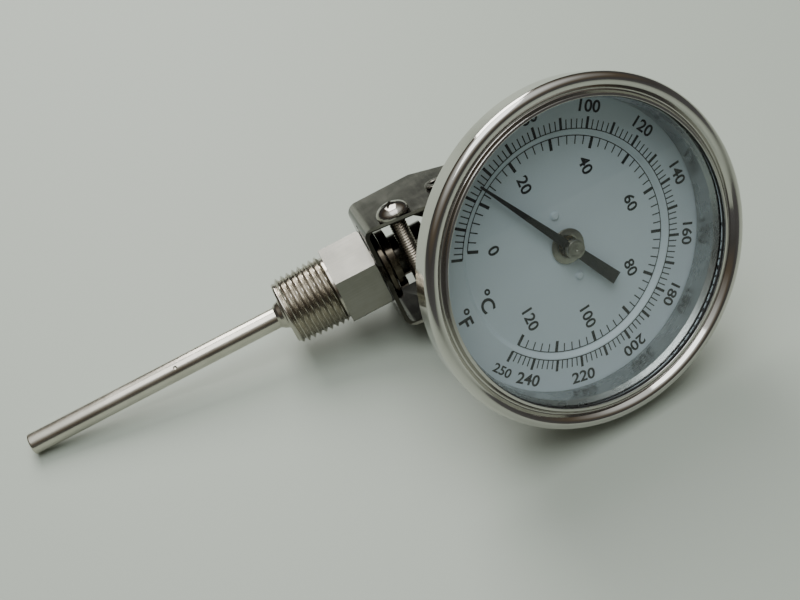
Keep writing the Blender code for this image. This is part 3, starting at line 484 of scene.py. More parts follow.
def threaded(name, core, depth, pitch, low, high, rows, steps=96, taper=0.0, fade=1.0, flat=0.06):
    # a screw thread: crest radius core at height 0, ridges wind up at one pitch a turn
    def crestShare(height, turn):
        phase = (height / pitch - turn / (2 * math.pi)) % 1.0
        share = 1 - abs(2 * phase - 1)
        share = min(1.0, max(0.0, (share - flat) / (1 - 2 * flat)))
        end = min((height - low) / (fade * pitch), (high - height) / (0.4 * pitch), 1.0)
        return share * max(0.0, end)

    def build(work):
        grid = []
        count = max(2, int(round((high - low) / pitch * rows)))
        heights = [low + (high - low) * i / count for i in range(count + 1)]
        for i in range(steps):
            turn = 2 * math.pi * i / steps
            c, s = math.cos(turn) * mm, math.sin(turn) * mm
            column = []
            for height in heights:
                radius = core + height * taper - depth * (1 - crestShare(height, turn))
                column.append(work.verts.new((radius * c, radius * s, height * mm)))
            grid.append(column)
        for i in range(steps):
            here, after = grid[i], grid[(i + 1) % steps]
            for k in range(count):
                work.faces.new((here[k], after[k], after[k + 1], here[k + 1]))
        work.faces.new([column[0] for column in grid])
        work.faces.new([column[-1] for column in grid])

    return meshOf(name, build, sharp=50)


def hexOutline(flats, turn):
    corner = flats / math.sqrt(3)
    turns = [turn + math.pi * i / 3 for i in range(6)]
    return [(corner * math.cos(t), corner * math.sin(t)) for t in turns]


fitting = {
    "flats": 22.4, "turn": math.radians(4.8), "height": 12.7, "chamfer": 0.55,
    "crest": 10.67, "taper": 1 / 32, "pitch": 1.814, "depth": 1.1, "threadLow": -16.6, "threadHigh": -0.6,
    "neck": 6.0, "neckTop": 19.9, "bore": 3.5,
}


def makeFitting():
    f = fitting
    corner = f["flats"] / math.sqrt(3)
    reach, drop = corner + 1, 0.577
    easing = [(0, f["height"] + 1), (corner - f["chamfer"] - 1 / drop, f["height"] + 1)]
    easing += [(reach, f["height"] - (f["chamfer"] + 1) * drop), (reach, (f["chamfer"] + 1) * drop * 0.4)]
    easing += [(corner - f["chamfer"] * 0.4 - 1 / drop, -1), (0, -1)]
    cone = lathe("cone", easing, steps=128, ease=0, closed=False)
    stock = prism("stock", hexOutline(f["flats"], f["turn"]), 0, f["height"])
    through = ("DIFFERENCE", rod("through", f["bore"], f["threadLow"] - 1, f["neckTop"], Matrix()))
    show("hexBody", carved(stock, [("INTERSECT", cone), through], bevel=0.14), "fitting", "millStainless",
         stands=("threaded_hex_fitting",))
    thread = threaded("thread", f["crest"], f["depth"], f["pitch"], f["threadLow"], f["threadHigh"], 16,
                      steps=144, taper=f["taper"], fade=0.9)
    show("pipeThread", carved(thread, [through]), "fitting", "turnedStainless")
    root = f["crest"] - f["depth"]
    show("threadRelief", lathe("relief", [(f["bore"], 0.2), (root, 0.2), (root, -0.8), (f["bore"], -0.8)]),
         "fitting", "turnedStainless")
    neck = [(f["bore"], f["neckTop"]), (f["neck"], f["neckTop"]), (f["neck"], 12), (f["bore"], 12)]
    show("swivelNeck", lathe("neck", neck, ease=0.25), "fitting", "turnedStainless")


probe = {
    "radius": 3.175, "bore": 2.65, "end": -97.0, "low": -98.0, "high": 3.0, "round": 0.6,
    "pit": -51.4, "pitTurn": math.radians(-126), "pitBall": 0.75, "pitDepth": 0.3,
}


def makeProbe():
    p = probe
    outline = [(0, p["low"]), (p["radius"], p["low"]), (p["radius"], p["high"]), (0, p["high"])]
    tube = lathe("tube", outline, steps=96, ease=p["round"], closed=False)
    ball = lathe("ball", arcPoints((0, 0), p["pitBall"], -90, 90, 12), steps=24, ease=0, closed=False)
    away = p["radius"] + p["pitBall"] - p["pitDepth"]
    spot = Vector((away * math.cos(p["pitTurn"]), away * math.sin(p["pitTurn"]), p["pit"])) * mm
    ball.transform(Matrix.Translation(spot))
    inside = rod("inside", p["bore"], p["end"], p["high"] + 1, Matrix())
    tube = carved(tube, [("DIFFERENCE", ball), ("DIFFERENCE", inside)])
    show("probeTube", tube, "fitting", "stemStainless", stands=("stem_tube",))
    bead = [(3.1, -16.5), (5.0, -16.5), (4.3, -17.2), (3.9, -18.3), (3.25, -19.2), (3.1, -19.2)]
    show("weldBead", lathe("bead", bead, ease=0.5), "fitting", "turnedStainless",
         stands=("weld_fillet",))


swivel = {
    "bore": 6.3, "washer": 11.5, "washerLow": 14.5, "washerHigh": 16.3,
    "nut": 9.2, "nutLow": 16.6, "nutHigh": 19.2, "slotLow": 18.1, "slotHalf": 1.2, "slotTurn": 0.5,
    "shaft": 0.9, "bush": 3.15, "bushLow": 15.9, "flange": 4.65, "flangeLow": 20.2, "flangeHigh": 20.9,
}


def makeSwivel():
    s = swivel
    washer = [(s["bore"], s["washerLow"]), (s["washer"], s["washerLow"])]
    washer += [(s["washer"], s["washerHigh"]), (s["bore"], s["washerHigh"])]
    show("swivelWasher", lathe("washer", washer, steps=128, ease=0.4), "fitting", "shadedStainless",
         stands=("swivel_washer",))
    outline = [(s["bore"], s["nutLow"]), (s["nut"], s["nutLow"])]
    outline += [(s["nut"], s["nutHigh"]), (s["bore"], s["nutHigh"])]
    nut = lathe("nut", outline, steps=128, ease=0.35)
    past, half = 12, s["slotHalf"]
    box = [(-past, -half), (past, -half), (past, half), (-past, half)]
    slots = []
    for angle in (s["slotTurn"], s["slotTurn"] + math.pi / 2):
        across = Matrix.Rotation(angle, 4, "Z")
        slots.append(("DIFFERENCE", prism("slot", box, s["slotLow"], 21, across)))
    show("swivelNut", carved(nut, slots), "fitting", "shadedStainless",
         stands=("swivel_nut",))
    bush = [(s["shaft"], s["bushLow"]), (s["bush"], s["bushLow"]), (s["bush"], s["flangeLow"])]
    bush += [(s["flange"], s["flangeLow"]), (s["flange"], s["flangeHigh"]), (s["shaft"], s["flangeHigh"])]
    show("neckBush", lathe("bush", bush, ease=0.15), "fitting", "turnedBrass",
         stands=("neck_bush",))


sheet = 1.2
bracket = {
    "half": 16.3, "bend": 3.2, "low": 13.0, "front": 13.0, "rear": 11.4, "lobe": 14.0,
    "pivotY": -6.0, "pivotZ": 37.8, "end": 12.4, "shoulder": 33.8, "flare": 0.4, "edge": 0.22,
}
caseBracket = {
    "half": 14.8, "bend": 3.2, "front": -6.5, "height": 32.0, "end": 11.5, "rise": 11.4, "reach": 44.6,
    "rivetHalf": 1.3, "rivetHead": 1.9,
}
holes = {"neck": 6.3, "pivot": 2.5, "clamp": 2.75, "arbor": 6.0}


def channel(half, height, bend):
    inner = bend - sheet
    left, right = (-half + bend, bend), (half - bend, bend)
    outside = arcPoints(left, bend, 180, 270, 12) + arcPoints(right, bend, 270, 360, 12)
    inside = arcPoints(right, inner, 0, -90, 12) + arcPoints(left, inner, -90, -180, 12)
    ends = [(half, height), (half - sheet, height)]
    return [(-half, height), *outside, *ends, *inside, (-half + sheet, height)]


def touching(point, centre, radius, side):
    offset = Vector(centre) - Vector(point)
    turn = math.atan2(offset.y, offset.x) + side * math.asin(radius / offset.length)
    reach = math.sqrt(offset.length_squared - radius ** 2)
    return (point[0] + reach * math.cos(turn), point[1] + reach * math.sin(turn))


def roundEar(right, left, centre, radius):
    ends = []
    for point, side in ((right, -1), (left, 1)):
        x, y = touching(point, centre, radius, side)
        ends.append(math.degrees(math.atan2(y - centre[1], x - centre[0])))
    if ends[1] < ends[0]:
        ends[1] += 360
    return [right, *arcPoints(centre, radius, ends[0], ends[1], 40), left]


def makeStemBracket():
    b = bracket
    far = 60
    across = Matrix.Translation((0, 0, b["low"] * mm)) @ Matrix.Rotation(math.pi / 2, 4, "X")
    blank = prism("blank", channel(b["half"], far, b["bend"]), -far, far, across)
    front, shoulder = (b["front"], b["low"]), (-b["rear"] - b["flare"], b["shoulder"])
    ear = roundEar(front, shoulder, (-b["pivotY"], b["pivotZ"]), b["end"])
    ear += [(-b["rear"], b["low"] + sheet), (-b["rear"], b["low"] - 1), (b["front"], b["low"] - 1)]
    sideways = Matrix(((0, 0, 1, 0), (-1, 0, 0, 0), (0, 1, 0, 0), (0, 0, 0, 1)))
    lobe = arcPoints((0, 0), b["lobe"], 180, 360, 60)
    steps = [
        ("INTERSECT", prism("ear", ear, -far, far, sideways)),
        ("UNION", prism("lobe", lobe, b["low"], b["low"] + sheet)),
        ("DIFFERENCE", rod("hole", holes["neck"], 0, 30, Matrix(), 96)),
        ("DIFFERENCE", rod("hole", holes["pivot"], -30, 30, pivotFrame)),
        ("DIFFERENCE", rod("hole", holes["clamp"], -30, 30, clampFrame)),
    ]
    body = carved(blank, steps, bevel=b["edge"])
    show("stemBracket", body, "bracket", "pressedStainless", stands=("stem_bracket",))


def makeCaseBracket():
    c = caseBracket
    far = 80
    back = c["front"] - sheet
    turn = Matrix.Rotation(math.pi, 4, "Y") @ Matrix.Rotation(math.pi / 2, 4, "X")
    across = Matrix.Translation((0, 0, c["front"] * mm)) @ turn
    blank = prism("blank", channel(c["half"], far, c["bend"]), -far, far, across)
    half = c["height"] / 2
    ear = roundEar((half, -back), (-half, -back), (-c["rise"], c["reach"]), c["end"])
    ear += [(-half, -c["front"] - 1), (half, -c["front"] - 1)]
    sideways = Matrix(((0, 0, 1, 0), (1, 0, 0, 0), (0, -1, 0, 0), (0, 0, 0, 1)))
    pivot = Matrix.Translation((0, -c["rise"] * mm, -c["reach"] * mm))
    pivot = pivot @ Matrix.Rotation(math.pi / 2, 4, "Y")
    steps = [
        ("INTERSECT", prism("ear", ear, -far, far, sideways)),
        ("DIFFERENCE", rod("hole", holes["arbor"], -30, 0, Matrix(), 96)),
        ("DIFFERENCE", rod("hole", holes["pivot"], -30, 30, pivot)),
    ]
    show("caseBracket", carved(blank, steps, bevel=0.2), "head", "caseBracketStainless",
         place=dialFrame, stands=("case_bracket",))
    half, wide, crown = c["rivetHalf"], c["rivetHead"], 1.5
    rivet = [(0, -4.3), (crown, -4.3), (wide, -5.1), (half, -5.1)]
    rivet += [(half, -8.0), (wide, -8.0), (crown, -8.8), (0, -8.8)]
    for i in range(4):
        low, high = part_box(f"case_rivet_{i + 1}")
        middle = dialFrame.inverted() @ ((Vector(low) + Vector(high)) / 2)
        place = dialFrame @ Matrix.Translation((middle.x, middle.y, 0))
        show(f"caseRivet{i + 1}", lathe("rivet", rivet, steps=48, ease=0.25, closed=False), "head",
             "polishedStainless", place=place, stands=(f"case_rivet_{i + 1}",))


clamp = {"half": 16.6, "radius": 2.45, "depth": 0.36, "pitch": 0.8, "tail": 21.4, "head": 4.8, "crown": 3.3,
         "crossTurn": 0.35}


def makePivots():
    outer, inner = 16.6, 13.3
    bore, shank, flange, thick = 1.2, 2.2, 2.9, 0.6
    profile = [(bore, outer + thick), (flange, outer + thick), (flange, outer), (shank, outer)]
    profile += [(shank, inner), (flange, inner), (flange, inner - thick), (bore, inner - thick)]
    for name, turn in (("Right", 0), ("Left", math.pi)):
        show("pivotRivet" + name, lathe("rivet", profile, ease=0.3), "bracket", "rivetStainless",
             place=pivotFrame @ Matrix.Rotation(turn, 4, "X"),
             stands=("pivot_rivet_" + name.lower(),))


def makeClamp():
    c = clamp
    start = -c["half"]
    crown = [(0, start), (c["head"] - 0.1, start), (c["head"], start - 0.5)]
    crown += [(c["head"] * math.cos(a), start - 0.5 - (c["crown"] - 0.5) * math.sin(a))
              for a in (math.radians(7.5 * i) for i in range(1, 12))]
    crown.append((0, start - c["crown"]))
    head = lathe("head", crown, steps=96, ease=0.15, closed=False)
    top = start - c["crown"]
    cuts = []
    for turn in (c["crossTurn"], c["crossTurn"] + math.pi / 2):
        wing = [(-2.4, -0.36), (2.4, -0.36), (2.4, 0.36), (-2.4, 0.36)]
        cuts.append(("DIFFERENCE", prism("wing", wing, top - 1, top + 1.6, Matrix.Rotation(turn, 4, "Z"))))
    well = [(0, top - 1), (1.15, top - 1), (0.85, top + 1.9), (0, top + 2.2)]
    cuts.append(("DIFFERENCE", lathe("well", well, steps=48, ease=0, closed=False)))
    show("clampScrewHead", carved(head, cuts, bevel=0.06, segments=2), "clamp_screw", "screwHeadStainless",
         place=clampFrame, stands=("clamp_screw",))
    shank = threaded("shank", c["radius"], c["depth"], c["pitch"], start - 0.2, c["tail"], 8,
                     steps=48, flat=0.1)
    show("clampScrewThread", shank, "clamp_screw", "screwSteel", place=clampFrame)
    chamfers = [(0, 16.5), (4.05, 16.5), (4.7, 16.9), (4.7, 19.5), (4.1, 19.9), (0, 19.9)]
    ring = lathe("ring", chamfers, ease=0, closed=False)
    nut = prism("nut", hexOutline(8.0, 0.2), 16.6, 19.8)
    cuts = [("INTERSECT", ring), ("DIFFERENCE", rod("hole", 2.5, 10, 30, Matrix(), 48))]
    show("clampNut", carved(nut, cuts, bevel=0.08), "bracket", "polishedStainless",
         place=clampFrame, stands=("clamp_nut",))


makeFitting()
makeProbe()
makeSwivel()
makeStemBracket()
makeCaseBracket()
makePivots()
makeClamp()
print("fitting, probe and brackets made")


head = {"case": 41.5, "rim": 10.4, "back": -6.2, "corner": 6.0, "wall": 0.8, "flange": 44.4,
        "bezel": 46.0, "draft": 0.6, "rear": 4.6, "sheet": 0.5, "bead": 1.9, "beadDrop": 1.3,
        "lip": 40.05, "lipTop": 12.5, "groove": 41.75, "grooveDepth": 1.0}


def makeCase():
    h = head
    inner = h["case"] - h["wall"]
    floorTop = h["back"] + h["wall"]
    cup = [(h["flange"], h["rim"]), (h["flange"], h["rim"] - h["wall"]), (h["case"], h["rim"] - h["wall"])]
    cup += arcPoints((h["case"] - h["corner"], h["back"] + h["corner"]), h["corner"], 0, -90, 20)
    cup += [(5, h["back"]), (5, floorTop)]
    bend = h["corner"] - h["wall"]
    cup += arcPoints((inner - bend, floorTop + bend), bend, -90, 0, 16)
    cup.append((inner, h["rim"]))
    show("caseCup", lathe("cup", cup, steps=192, ease=0.25), "head", "polishedStainless",
         place=dialFrame, stands=("case_cup",))


def makeBezel():
    h = head
    bead = (h["bezel"] - h["bead"], h["lipTop"] - h["beadDrop"])
    rear = h["bezel"] - h["draft"]
    low = h["lipTop"] - h["sheet"]
    valley = h["lipTop"] - h["grooveDepth"]
    ring = [(h["lip"], low), (h["lip"], h["lipTop"]), (h["lip"] + 0.75, h["lipTop"] - 0.05)]
    ring += arcPoints((h["groove"], valley + 0.45), 0.45, 225, 300, 6)
    ring += arcPoints(bead, h["bead"], 132, 0, 24)
    ring += arcPoints((rear - 0.8, h["rear"] + 0.8), 0.8, 0, -90, 10)
    ring += [(h["case"] + 0.3, h["rear"]), (h["case"] + 0.3, h["rear"] + h["sheet"])]
    ring += arcPoints((rear - 0.9, h["rear"] + 0.9), 0.4, -90, 0, 4)
    ring += arcPoints(bead, h["bead"] - h["sheet"], 0, 118, 10)
    ring += [(h["groove"], valley - h["sheet"]), (h["lip"] + 0.95, low)]
    show("bezelRing", lathe("bezel", ring, steps=256, ease=0.16), "head", "bezelStainless",
         place=dialFrame, stands=("bezel_ring",))


def makeWindow():
    gasket = [(39.85, 11.3), (40.9, 11.3), (40.9, 11.7), (39.85, 11.7)]
    show("windowGasket", lathe("gasket", gasket, steps=192, ease=0.1), "head", "gasketRubber",
         place=dialFrame, stands=("gasket",))
    window = [(0, 9.2), (40.4, 9.2), (40.4, 11.0), (0, 11.0)]
    show("window", lathe("window", window, steps=192, ease=0.2, closed=False), "head", "windowGlass",
         place=dialFrame, stands=("glass",))
    spacer = [(39.1, 0.3), (40.4, 0.3), (40.4, 8.9), (40.1, 8.9), (39.1, 7.6)]
    show("spacerRing", lathe("spacer", spacer, steps=256, ease=0.3), "head", "spacerStainless",
         place=dialFrame, stands=("spacer_ring",))


scale = {"middle": 140.0, "each": 1.372, "closing": 0.000186, "lean": -1.75,
         "lowF": 30, "highF": 250, "highC": 120,
         "arcF": 30.6, "arcC": 28.7, "line": 0.25, "boldF": 0.76, "boldC": 0.86, "thin": 0.32,
         "longF": 3.1, "shortF": 2.45, "longC": 3.05, "shortC": 2.25,
         "numberF": 36.35, "numberC": 21.3, "tall": 3.2, "small": 2.6, "unit": 4.1,
         "unitF": 33.7, "unitC": 26.2, "unitTurn": math.radians(177.8), "dish": -1.2, "print": 0.03}


def turnOf(degreesF):
    # the marks stand a little closer together towards the hot end
    above = degreesF - scale["middle"]
    return math.radians(scale["each"] * above - scale["closing"] * above ** 2 + scale["lean"])


def fromC(degreesC):
    return degreesC * 1.8 + 32


def addBlock(work, corners, low, high):
    bottom = [work.verts.new((x * mm, y * mm, low * mm)) for x, y in corners]
    top = [work.verts.new((x * mm, y * mm, high * mm)) for x, y in corners]
    count = len(corners)
    work.faces.new(bottom)
    work.faces.new(top)
    for i in range(count):
        j = (i + 1) % count
        work.faces.new((bottom[i], bottom[j], top[j], top[i]))


def addTick(work, turn, start, end, width, height):
    across = Vector((math.cos(turn), -math.sin(turn))) * width / 2
    out = Vector((math.sin(turn), math.cos(turn)))
    corners = [out * start - across, out * start + across, out * end + across, out * end - across]
    addBlock(work, corners, height - scale["print"], height + scale["print"])


def addArc(work, radius, low, high, width, height):
    count = 160
    turns = [low + (high - low) * i / count for i in range(count + 1)]
    inside, outside = radius - width / 2, radius + width / 2
    rows = []
    for turn in turns:
        s, c = math.sin(turn) * mm, math.cos(turn) * mm
        rows.append([work.verts.new((r * s, r * c, (height + d) * mm))
                     for r, d in ((inside, -scale["print"]), (outside, -scale["print"]),
                                  (outside, scale["print"]), (inside, scale["print"]))])
    for here, after in zip(rows, rows[1:]):
        for k in range(4):
            work.faces.new((here[k], after[k], after[(k + 1) % 4], here[(k + 1) % 4]))
    work.faces.new(rows[0])
    work.faces.new(rows[-1])


def addText(work, words, tall, place, squeeze=1.1):
    letters = bpy.data.curves.new("letters", "FONT")
    letters.body = words
    letters.size = 1
    letters.extrude = 0.02
    letters.offset = 0.022
    letters.resolution_u = 6
    holder = bpy.data.objects.new("letters", letters)
    bpy.context.scene.collection.objects.link(holder)
    bpy.context.view_layer.update()
    mesh = bpy.data.meshes.new_from_object(holder.evaluated_get(bpy.context.evaluated_depsgraph_get()))
    bpy.data.objects.remove(holder, do_unlink=True)
    low = Vector([min(v.co[i] for v in mesh.vertices) for i in range(3)])
    high = Vector([max(v.co[i] for v in mesh.vertices) for i in range(3)])
    grow = tall * mm / (high.y - low.y)
    mesh.transform(Matrix.Translation(-(low + high) / 2))
    mesh.transform(Matrix.Diagonal((grow * squeeze, grow, 2 * scale["print"] * mm / (high.z - low.z), 1)))
    mesh.transform(place)
    work.from_mesh(mesh)
    bpy.data.meshes.remove(mesh)


def atTurn(radius, turn, height, spin):
    spot = Vector((radius * math.sin(turn), radius * math.cos(turn), height)) * mm
    return Matrix.Translation(spot) @ Matrix.Rotation(spin, 4, "Z")


def makeMarks(work):
    s = scale
    for degrees in range(s["lowF"], s["highF"] + 1, 2):
        bold = degrees % 10 == 0
        end = s["arcF"] + (s["longF"] if bold else s["shortF"])
        addTick(work, turnOf(degrees), s["arcF"], end, s["boldF"] if bold else s["thin"], 0)
    for degrees in range(0, s["highC"] + 1, 2):
        bold = degrees % 10 == 0
        end = s["arcC"] - (s["longC"] if bold else s["shortC"])
        addTick(work, turnOf(fromC(degrees)), s["arcC"], end, s["boldC"] if bold else s["thin"], s["dish"])
    addArc(work, s["arcF"], turnOf(s["lowF"]), turnOf(s["highF"]), s["line"], 0)
    addArc(work, s["arcC"], turnOf(fromC(0)), turnOf(fromC(s["highC"])), s["line"], s["dish"])


def makeNumbers(work):
    s = scale
    for degrees in [s["lowF"], *range(40, s["highF"], 20), s["highF"]]:
        turn = turnOf(degrees)
        spin = -turn if degrees <= 200 else math.pi - turn
        edge = degrees in (s["lowF"], s["highF"])
        if degrees == s["lowF"]:
            spin = math.pi - turn
        addText(work, str(degrees), s["small"] if edge else s["tall"], atTurn(s["numberF"], turn, 0, spin))
    for degrees in range(0, s["highC"] + 1, 20):
        addText(work, str(degrees), s["tall"], atTurn(s["numberC"], turnOf(fromC(degrees)), s["dish"], 0))
    addText(work, "°C", s["unit"], atTurn(s["unitC"], s["unitTurn"], s["dish"], 0))
    addText(work, "°F", s["unit"], atTurn(s["unitF"], s["unitTurn"], 0, 0))


def makeDial():
    s = scale
    face = [(40.4, 0), (40.4, -0.5), (30.2, -0.5), (29.1, -1.7)]
    face += [(2.7, -1.7), (2.7, -1.2), (29.1, -1.2), (30.2, 0)]
    show("dialPlate", lathe("dial", face, steps=256, ease=0.3), "head", "dialEnamel",
         place=dialFrame, stands=("dial_plate",))
    for name, build in (("scaleMarks", makeMarks), ("scaleNumbers", makeNumbers)):
        show(name, meshOf(name, build), "head", "printBlack", place=dialFrame)
    washer = [(2.7, -0.9), (4.75, -0.9), (4.75, -0.45), (3.6, -0.3), (2.7, -0.3)]
    show("centreWasher", lathe("washer", washer, ease=0.2), "head", "hubStainless",
         place=dialFrame, stands=("centre_washer",))
    screw = [(0, -0.45), (0.8, -0.5), (1.2, -0.9), (1.2, -1.3), (0, -1.3)]
    for side, name in ((-1, "Left"), (1, "Right")):
        place = dialFrame @ Matrix.Translation((side * 9.2 * mm, 0, 0))
        mesh = lathe("screw", screw, steps=48, ease=0.2, closed=False)
        show("dialScrew" + name, mesh, "head", "dialEnamel", place=place,
             stands=("dial_screw_" + name.lower(),))


needle = {
    "tip": 31.9, "tail": -16.9, "tipHalf": 0.3, "tailHalf": 1.78, "low": 1.0, "high": 1.4,
    "rest": math.radians(120),
}


def makePointer():
    n = needle
    outline = [(-n["tipHalf"], n["tip"]), (-n["tailHalf"], n["tail"])]
    outline += [(n["tailHalf"], n["tail"]), (n["tipHalf"], n["tip"])]
    eye = rod("eye", 2.5, n["low"], n["high"], Matrix(), 64)
    blade = carved(prism("blade", outline, n["low"], n["high"]), [("UNION", eye)], bevel=0.06, segments=2)
    show("pointerBlade", blade, "pointer", "pointerBlack",
         place=dialFrame @ Matrix.Rotation(n["rest"], 4, "Z"), stands=("pointer",))
    hub = [(0, 3.35), (0.25, 3.35), (0.5, 3.7), (1.5, 3.62)]
    hub += [(1.65, 3.72), (2.55, 3.7), (2.55, 1.7), (0, 1.7)]
    show("pointerHub", lathe("hub", hub, ease=0.22, closed=False), "pointer", "hubStainless",
         place=dialFrame, stands=("pointer_hub",))
    arbor = [(0, 2.6), (0.9, 2.6), (0.9, -11.7), (0, -11.7)]
    show("pointerArbor", lathe("arbor", arbor, steps=48, closed=False), "pointer", "polishedStainless",
         place=dialFrame, stands=("pointer_arbor",))


drive = {"coil": 1.15, "wire": 0.33, "pitch": 0.72, "around": 14, "sides": 6, "pull": 0.45}


def tubeAlong(name, points, radius, sides):
    def build(work):
        rings = []
        up = Vector((1, 0, 0))
        for i, point in enumerate(points):
            ahead = points[min(i + 1, len(points) - 1)] - points[max(i - 1, 0)]
            ahead.normalize()
            side = ahead.cross(up).normalized()
            up = side.cross(ahead).normalized()
            rings.append([work.verts.new(point + (side * math.cos(a) + up * math.sin(a)) * radius)
                          for a in (2 * math.pi * k / sides for k in range(sides))])
        for here, after in zip(rings, rings[1:]):
            for k in range(sides):
                work.faces.new((here[k], here[(k + 1) % sides], after[(k + 1) % sides], after[k]))
        work.faces.new(rings[0])
        work.faces.new(rings[-1])

    return meshOf(name, build, sharp=70)


def makeDrive():
    d = drive
    collar = [(0.9, 0), (2.1, 0), (2.1, 4), (0.9, 4)]
    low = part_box("shaft_collar")[0][2]
    show("shaftCollar", lathe("collar", collar, steps=64, ease=0.2), "drive_shaft", "turnedBrass",
         place=Matrix.Translation((0, 0, low)), stands=("shaft_collar",))
    show("arborCollar", lathe("collar", collar, steps=64, ease=0.2), "pointer", "turnedBrass",
         place=dialFrame @ Matrix.Translation((0, 0, -13.7 * mm)), stands=("arbor_collar",))
    start = Vector((0, 0, low + 4.1 * mm))
    end = dialFrame @ Vector((0, 0, -13.8 * mm))
    pull = d["pull"] * (end - start).length
    hands = (start, start + Vector((0, 0, pull)), end - dialOut * pull, end)
    count = int((end - start).length * 1.08 / (d["pitch"] * mm)) * d["around"]
    points = []
    for i in range(count + 1):
        t = i / count
        weights = ((1 - t) ** 3, 3 * t * (1 - t) ** 2, 3 * t * t * (1 - t), t ** 3)
        slopes = ((1 - t) ** 2, 2 * t * (1 - t), t * t)
        middle = sum((w * h for w, h in zip(weights, hands)), Vector())
        ahead = sum((w * (b - a) for w, a, b in zip(slopes, hands, hands[1:])), Vector()).normalized()
        side = Vector((1, 0, 0))
        lift = ahead.cross(side)
        turn = 2 * math.pi * i / d["around"]
        points.append(middle + (side * math.cos(turn) + lift * math.sin(turn)) * d["coil"] * mm)
    mesh = tubeAlong("spring", points, d["wire"] * mm, d["sides"])
    spring = bpy.data.objects.new("driveSpring", mesh)
    bpy.context.scene.collection.objects.link(spring)
    mesh.materials.append(made["springSteel"])
    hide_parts("flexible_drive_spring")
    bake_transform(spring)


def makeReset():
    nut = prism("nut", hexOutline(6.0, 0), -2.7, -0.3)
    wall = [(-5, -0.5), (5, -0.5), (5, 0.5), (-5, 0.5)]
    cuts = [("UNION", rod("shank", 1.8, -1.5, 3.3, Matrix(), 48))]
    cuts.append(("DIFFERENCE", prism("slot", wall, -4, -1.8)))
    place = resetFrame @ Matrix.Translation((0, 0, head["back"] * mm))
    show("resetScrew", carved(nut, cuts, bevel=0.1), "reset_screw", "turnedBrass", place=place,
         stands=("reset_screw",))


makeCase()
makeBezel()
makeWindow()
makeDial()
makePointer()
makeDrive()
makeReset()
print("head, pointer and drive made")

carried = {
    "helix_anchor": "turnedBrass", "bimetal_helix": "bimetalStrip", "lower_guide_bush": "turnedBrass",
    "upper_guide_bush": "turnedBrass", "drive_shaft": "polishedStainless", "bearing_boss": "turnedBrass",
}
for name, look in carried.items():
    mesh = frame["nodes"][name].data
    for i in range(max(1, len(mesh.materials))):
        if i < len(mesh.materials):
            mesh.materials[i] = made[look]
        else:
            mesh.materials.append(made[look])
print("carried nodes dressed")


def tableTop():
    material = bpy.data.materials.new("tableTop")
    material.use_nodes = True
    tree = material.node_tree
    shader = tree.nodes["Principled BSDF"]
    shader.inputs["Base Color"].default_value = (*table["colour"], 1)
    shader.inputs["Roughness"].default_value = 0.55
    hidden = tree.nodes.new("ShaderNodeBsdfTransparent")
    side = tree.nodes.new("ShaderNodeNewGeometry")
    either = tree.nodes.new("ShaderNodeMixShader")
    link(tree, side.outputs["Backfacing"], either.inputs[0])
    link(tree, shader.outputs[0], either.inputs[1])
    link(tree, hidden.outputs[0], either.inputs[2])
    link(tree, either.outputs[0], tree.nodes["Material Output"].inputs["Surface"])
    return material


def buildTable(work):
    half = table["half"]
    corners = ((-1, -1), (1, -1), (1, 1), (-1, 1))
    work.faces.new([work.verts.new((x * half, y * half, 0)) for x, y in corners])


floorMesh = bpy.data.meshes.new("tableTop")
floorWork = bmesh.new()
buildTable(floorWork)
floorWork.to_mesh(floorMesh)
floorWork.free()
floorMesh.materials.append(tableTop())
floor = bpy.data.objects.new("tableTop", floorMesh)
bpy.context.scene.collection.objects.link(floor)
middle = (Vector(cadLow) + Vector(cadHigh)) / 2
middle -= tableUp * (middle.dot(tableUp) - tableHeight)
floor.matrix_world = axisFrame(middle, tableUp, shot["up"])

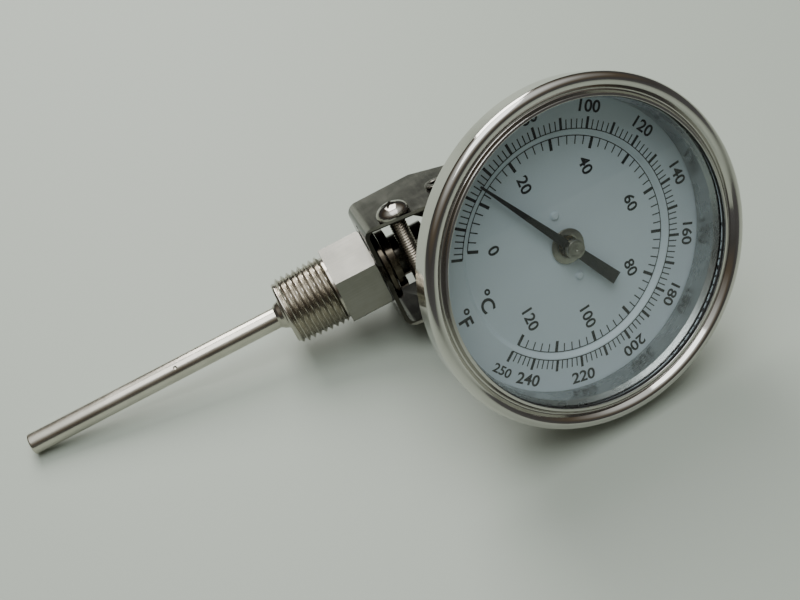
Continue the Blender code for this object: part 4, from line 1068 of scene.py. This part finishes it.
# brightness of the room by the sine of the height above the table
room = {
    "steps": ((-0.10, (0.16, 0.165, 0.155)), (0.04, (0.10, 0.10, 0.10)), (0.30, (0.075, 0.072, 0.068)),
              (0.52, (0.13, 0.105, 0.075)), (0.70, (0.34, 0.33, 0.31)), (0.90, (0.95, 0.97, 0.95))),
    "strength": 1.0,
}


def buildRoom():
    world = bpy.data.worlds.new("room")
    bpy.context.scene.world = world
    world.use_nodes = True
    tree = world.node_tree
    place = tree.nodes.new("ShaderNodeTexCoord")
    rise = tree.nodes.new("ShaderNodeVectorMath")
    rise.operation = "DOT_PRODUCT"
    rise.inputs[1].default_value = tableUp
    link(tree, place.outputs["Generated"], rise.inputs[0])
    ramp = tree.nodes.new("ShaderNodeValToRGB")
    spread = tree.nodes.new("ShaderNodeMapRange")
    spread.inputs["From Min"].default_value = -1.0
    link(tree, rise.outputs["Value"], spread.inputs["Value"])
    link(tree, spread.outputs[0], ramp.inputs[0])
    marks = ramp.color_ramp.elements
    while len(marks) < len(room["steps"]):
        marks.new(0.5)
    for mark, (height, colour) in zip(marks, room["steps"]):
        mark.position = (height + 1) / 2
        mark.color = (*colour, 1)
    link(tree, ramp.outputs[0], tree.nodes["Background"].inputs["Color"])
    tree.nodes["Background"].inputs["Strength"].default_value = room["strength"]


buildRoom()

# places are over the table: right, away and up as the camera sees it
lamps = {
    "window": {"place": (-0.45, 0.75, 0.85), "size": (0.9, 0.6), "power": 13.0,
               "colour": (1.0, 0.99, 0.96)},
    "ceiling": {"place": (0.0, -0.1, 1.2), "size": (1.0, 0.8), "power": 7.0,
                "colour": (0.97, 0.99, 1.0)},
}
for name, lamp in lamps.items():
    data = bpy.data.lights.new(name, "AREA")
    data.shape = "RECTANGLE"
    data.size, data.size_y = lamp["size"]
    data.energy = lamp["power"]
    data.color = lamp["colour"]
    light = bpy.data.objects.new(name, data)
    bpy.context.scene.collection.objects.link(light)
    spot = floor.matrix_world @ Vector(lamp["place"])
    aim = floor.matrix_world @ Vector((0, 0, 0.03))
    facing = (aim - spot).to_track_quat("-Z", "Y").to_matrix().to_4x4()
    light.matrix_world = Matrix.Translation(spot) @ facing
print("table, room and lamps set")
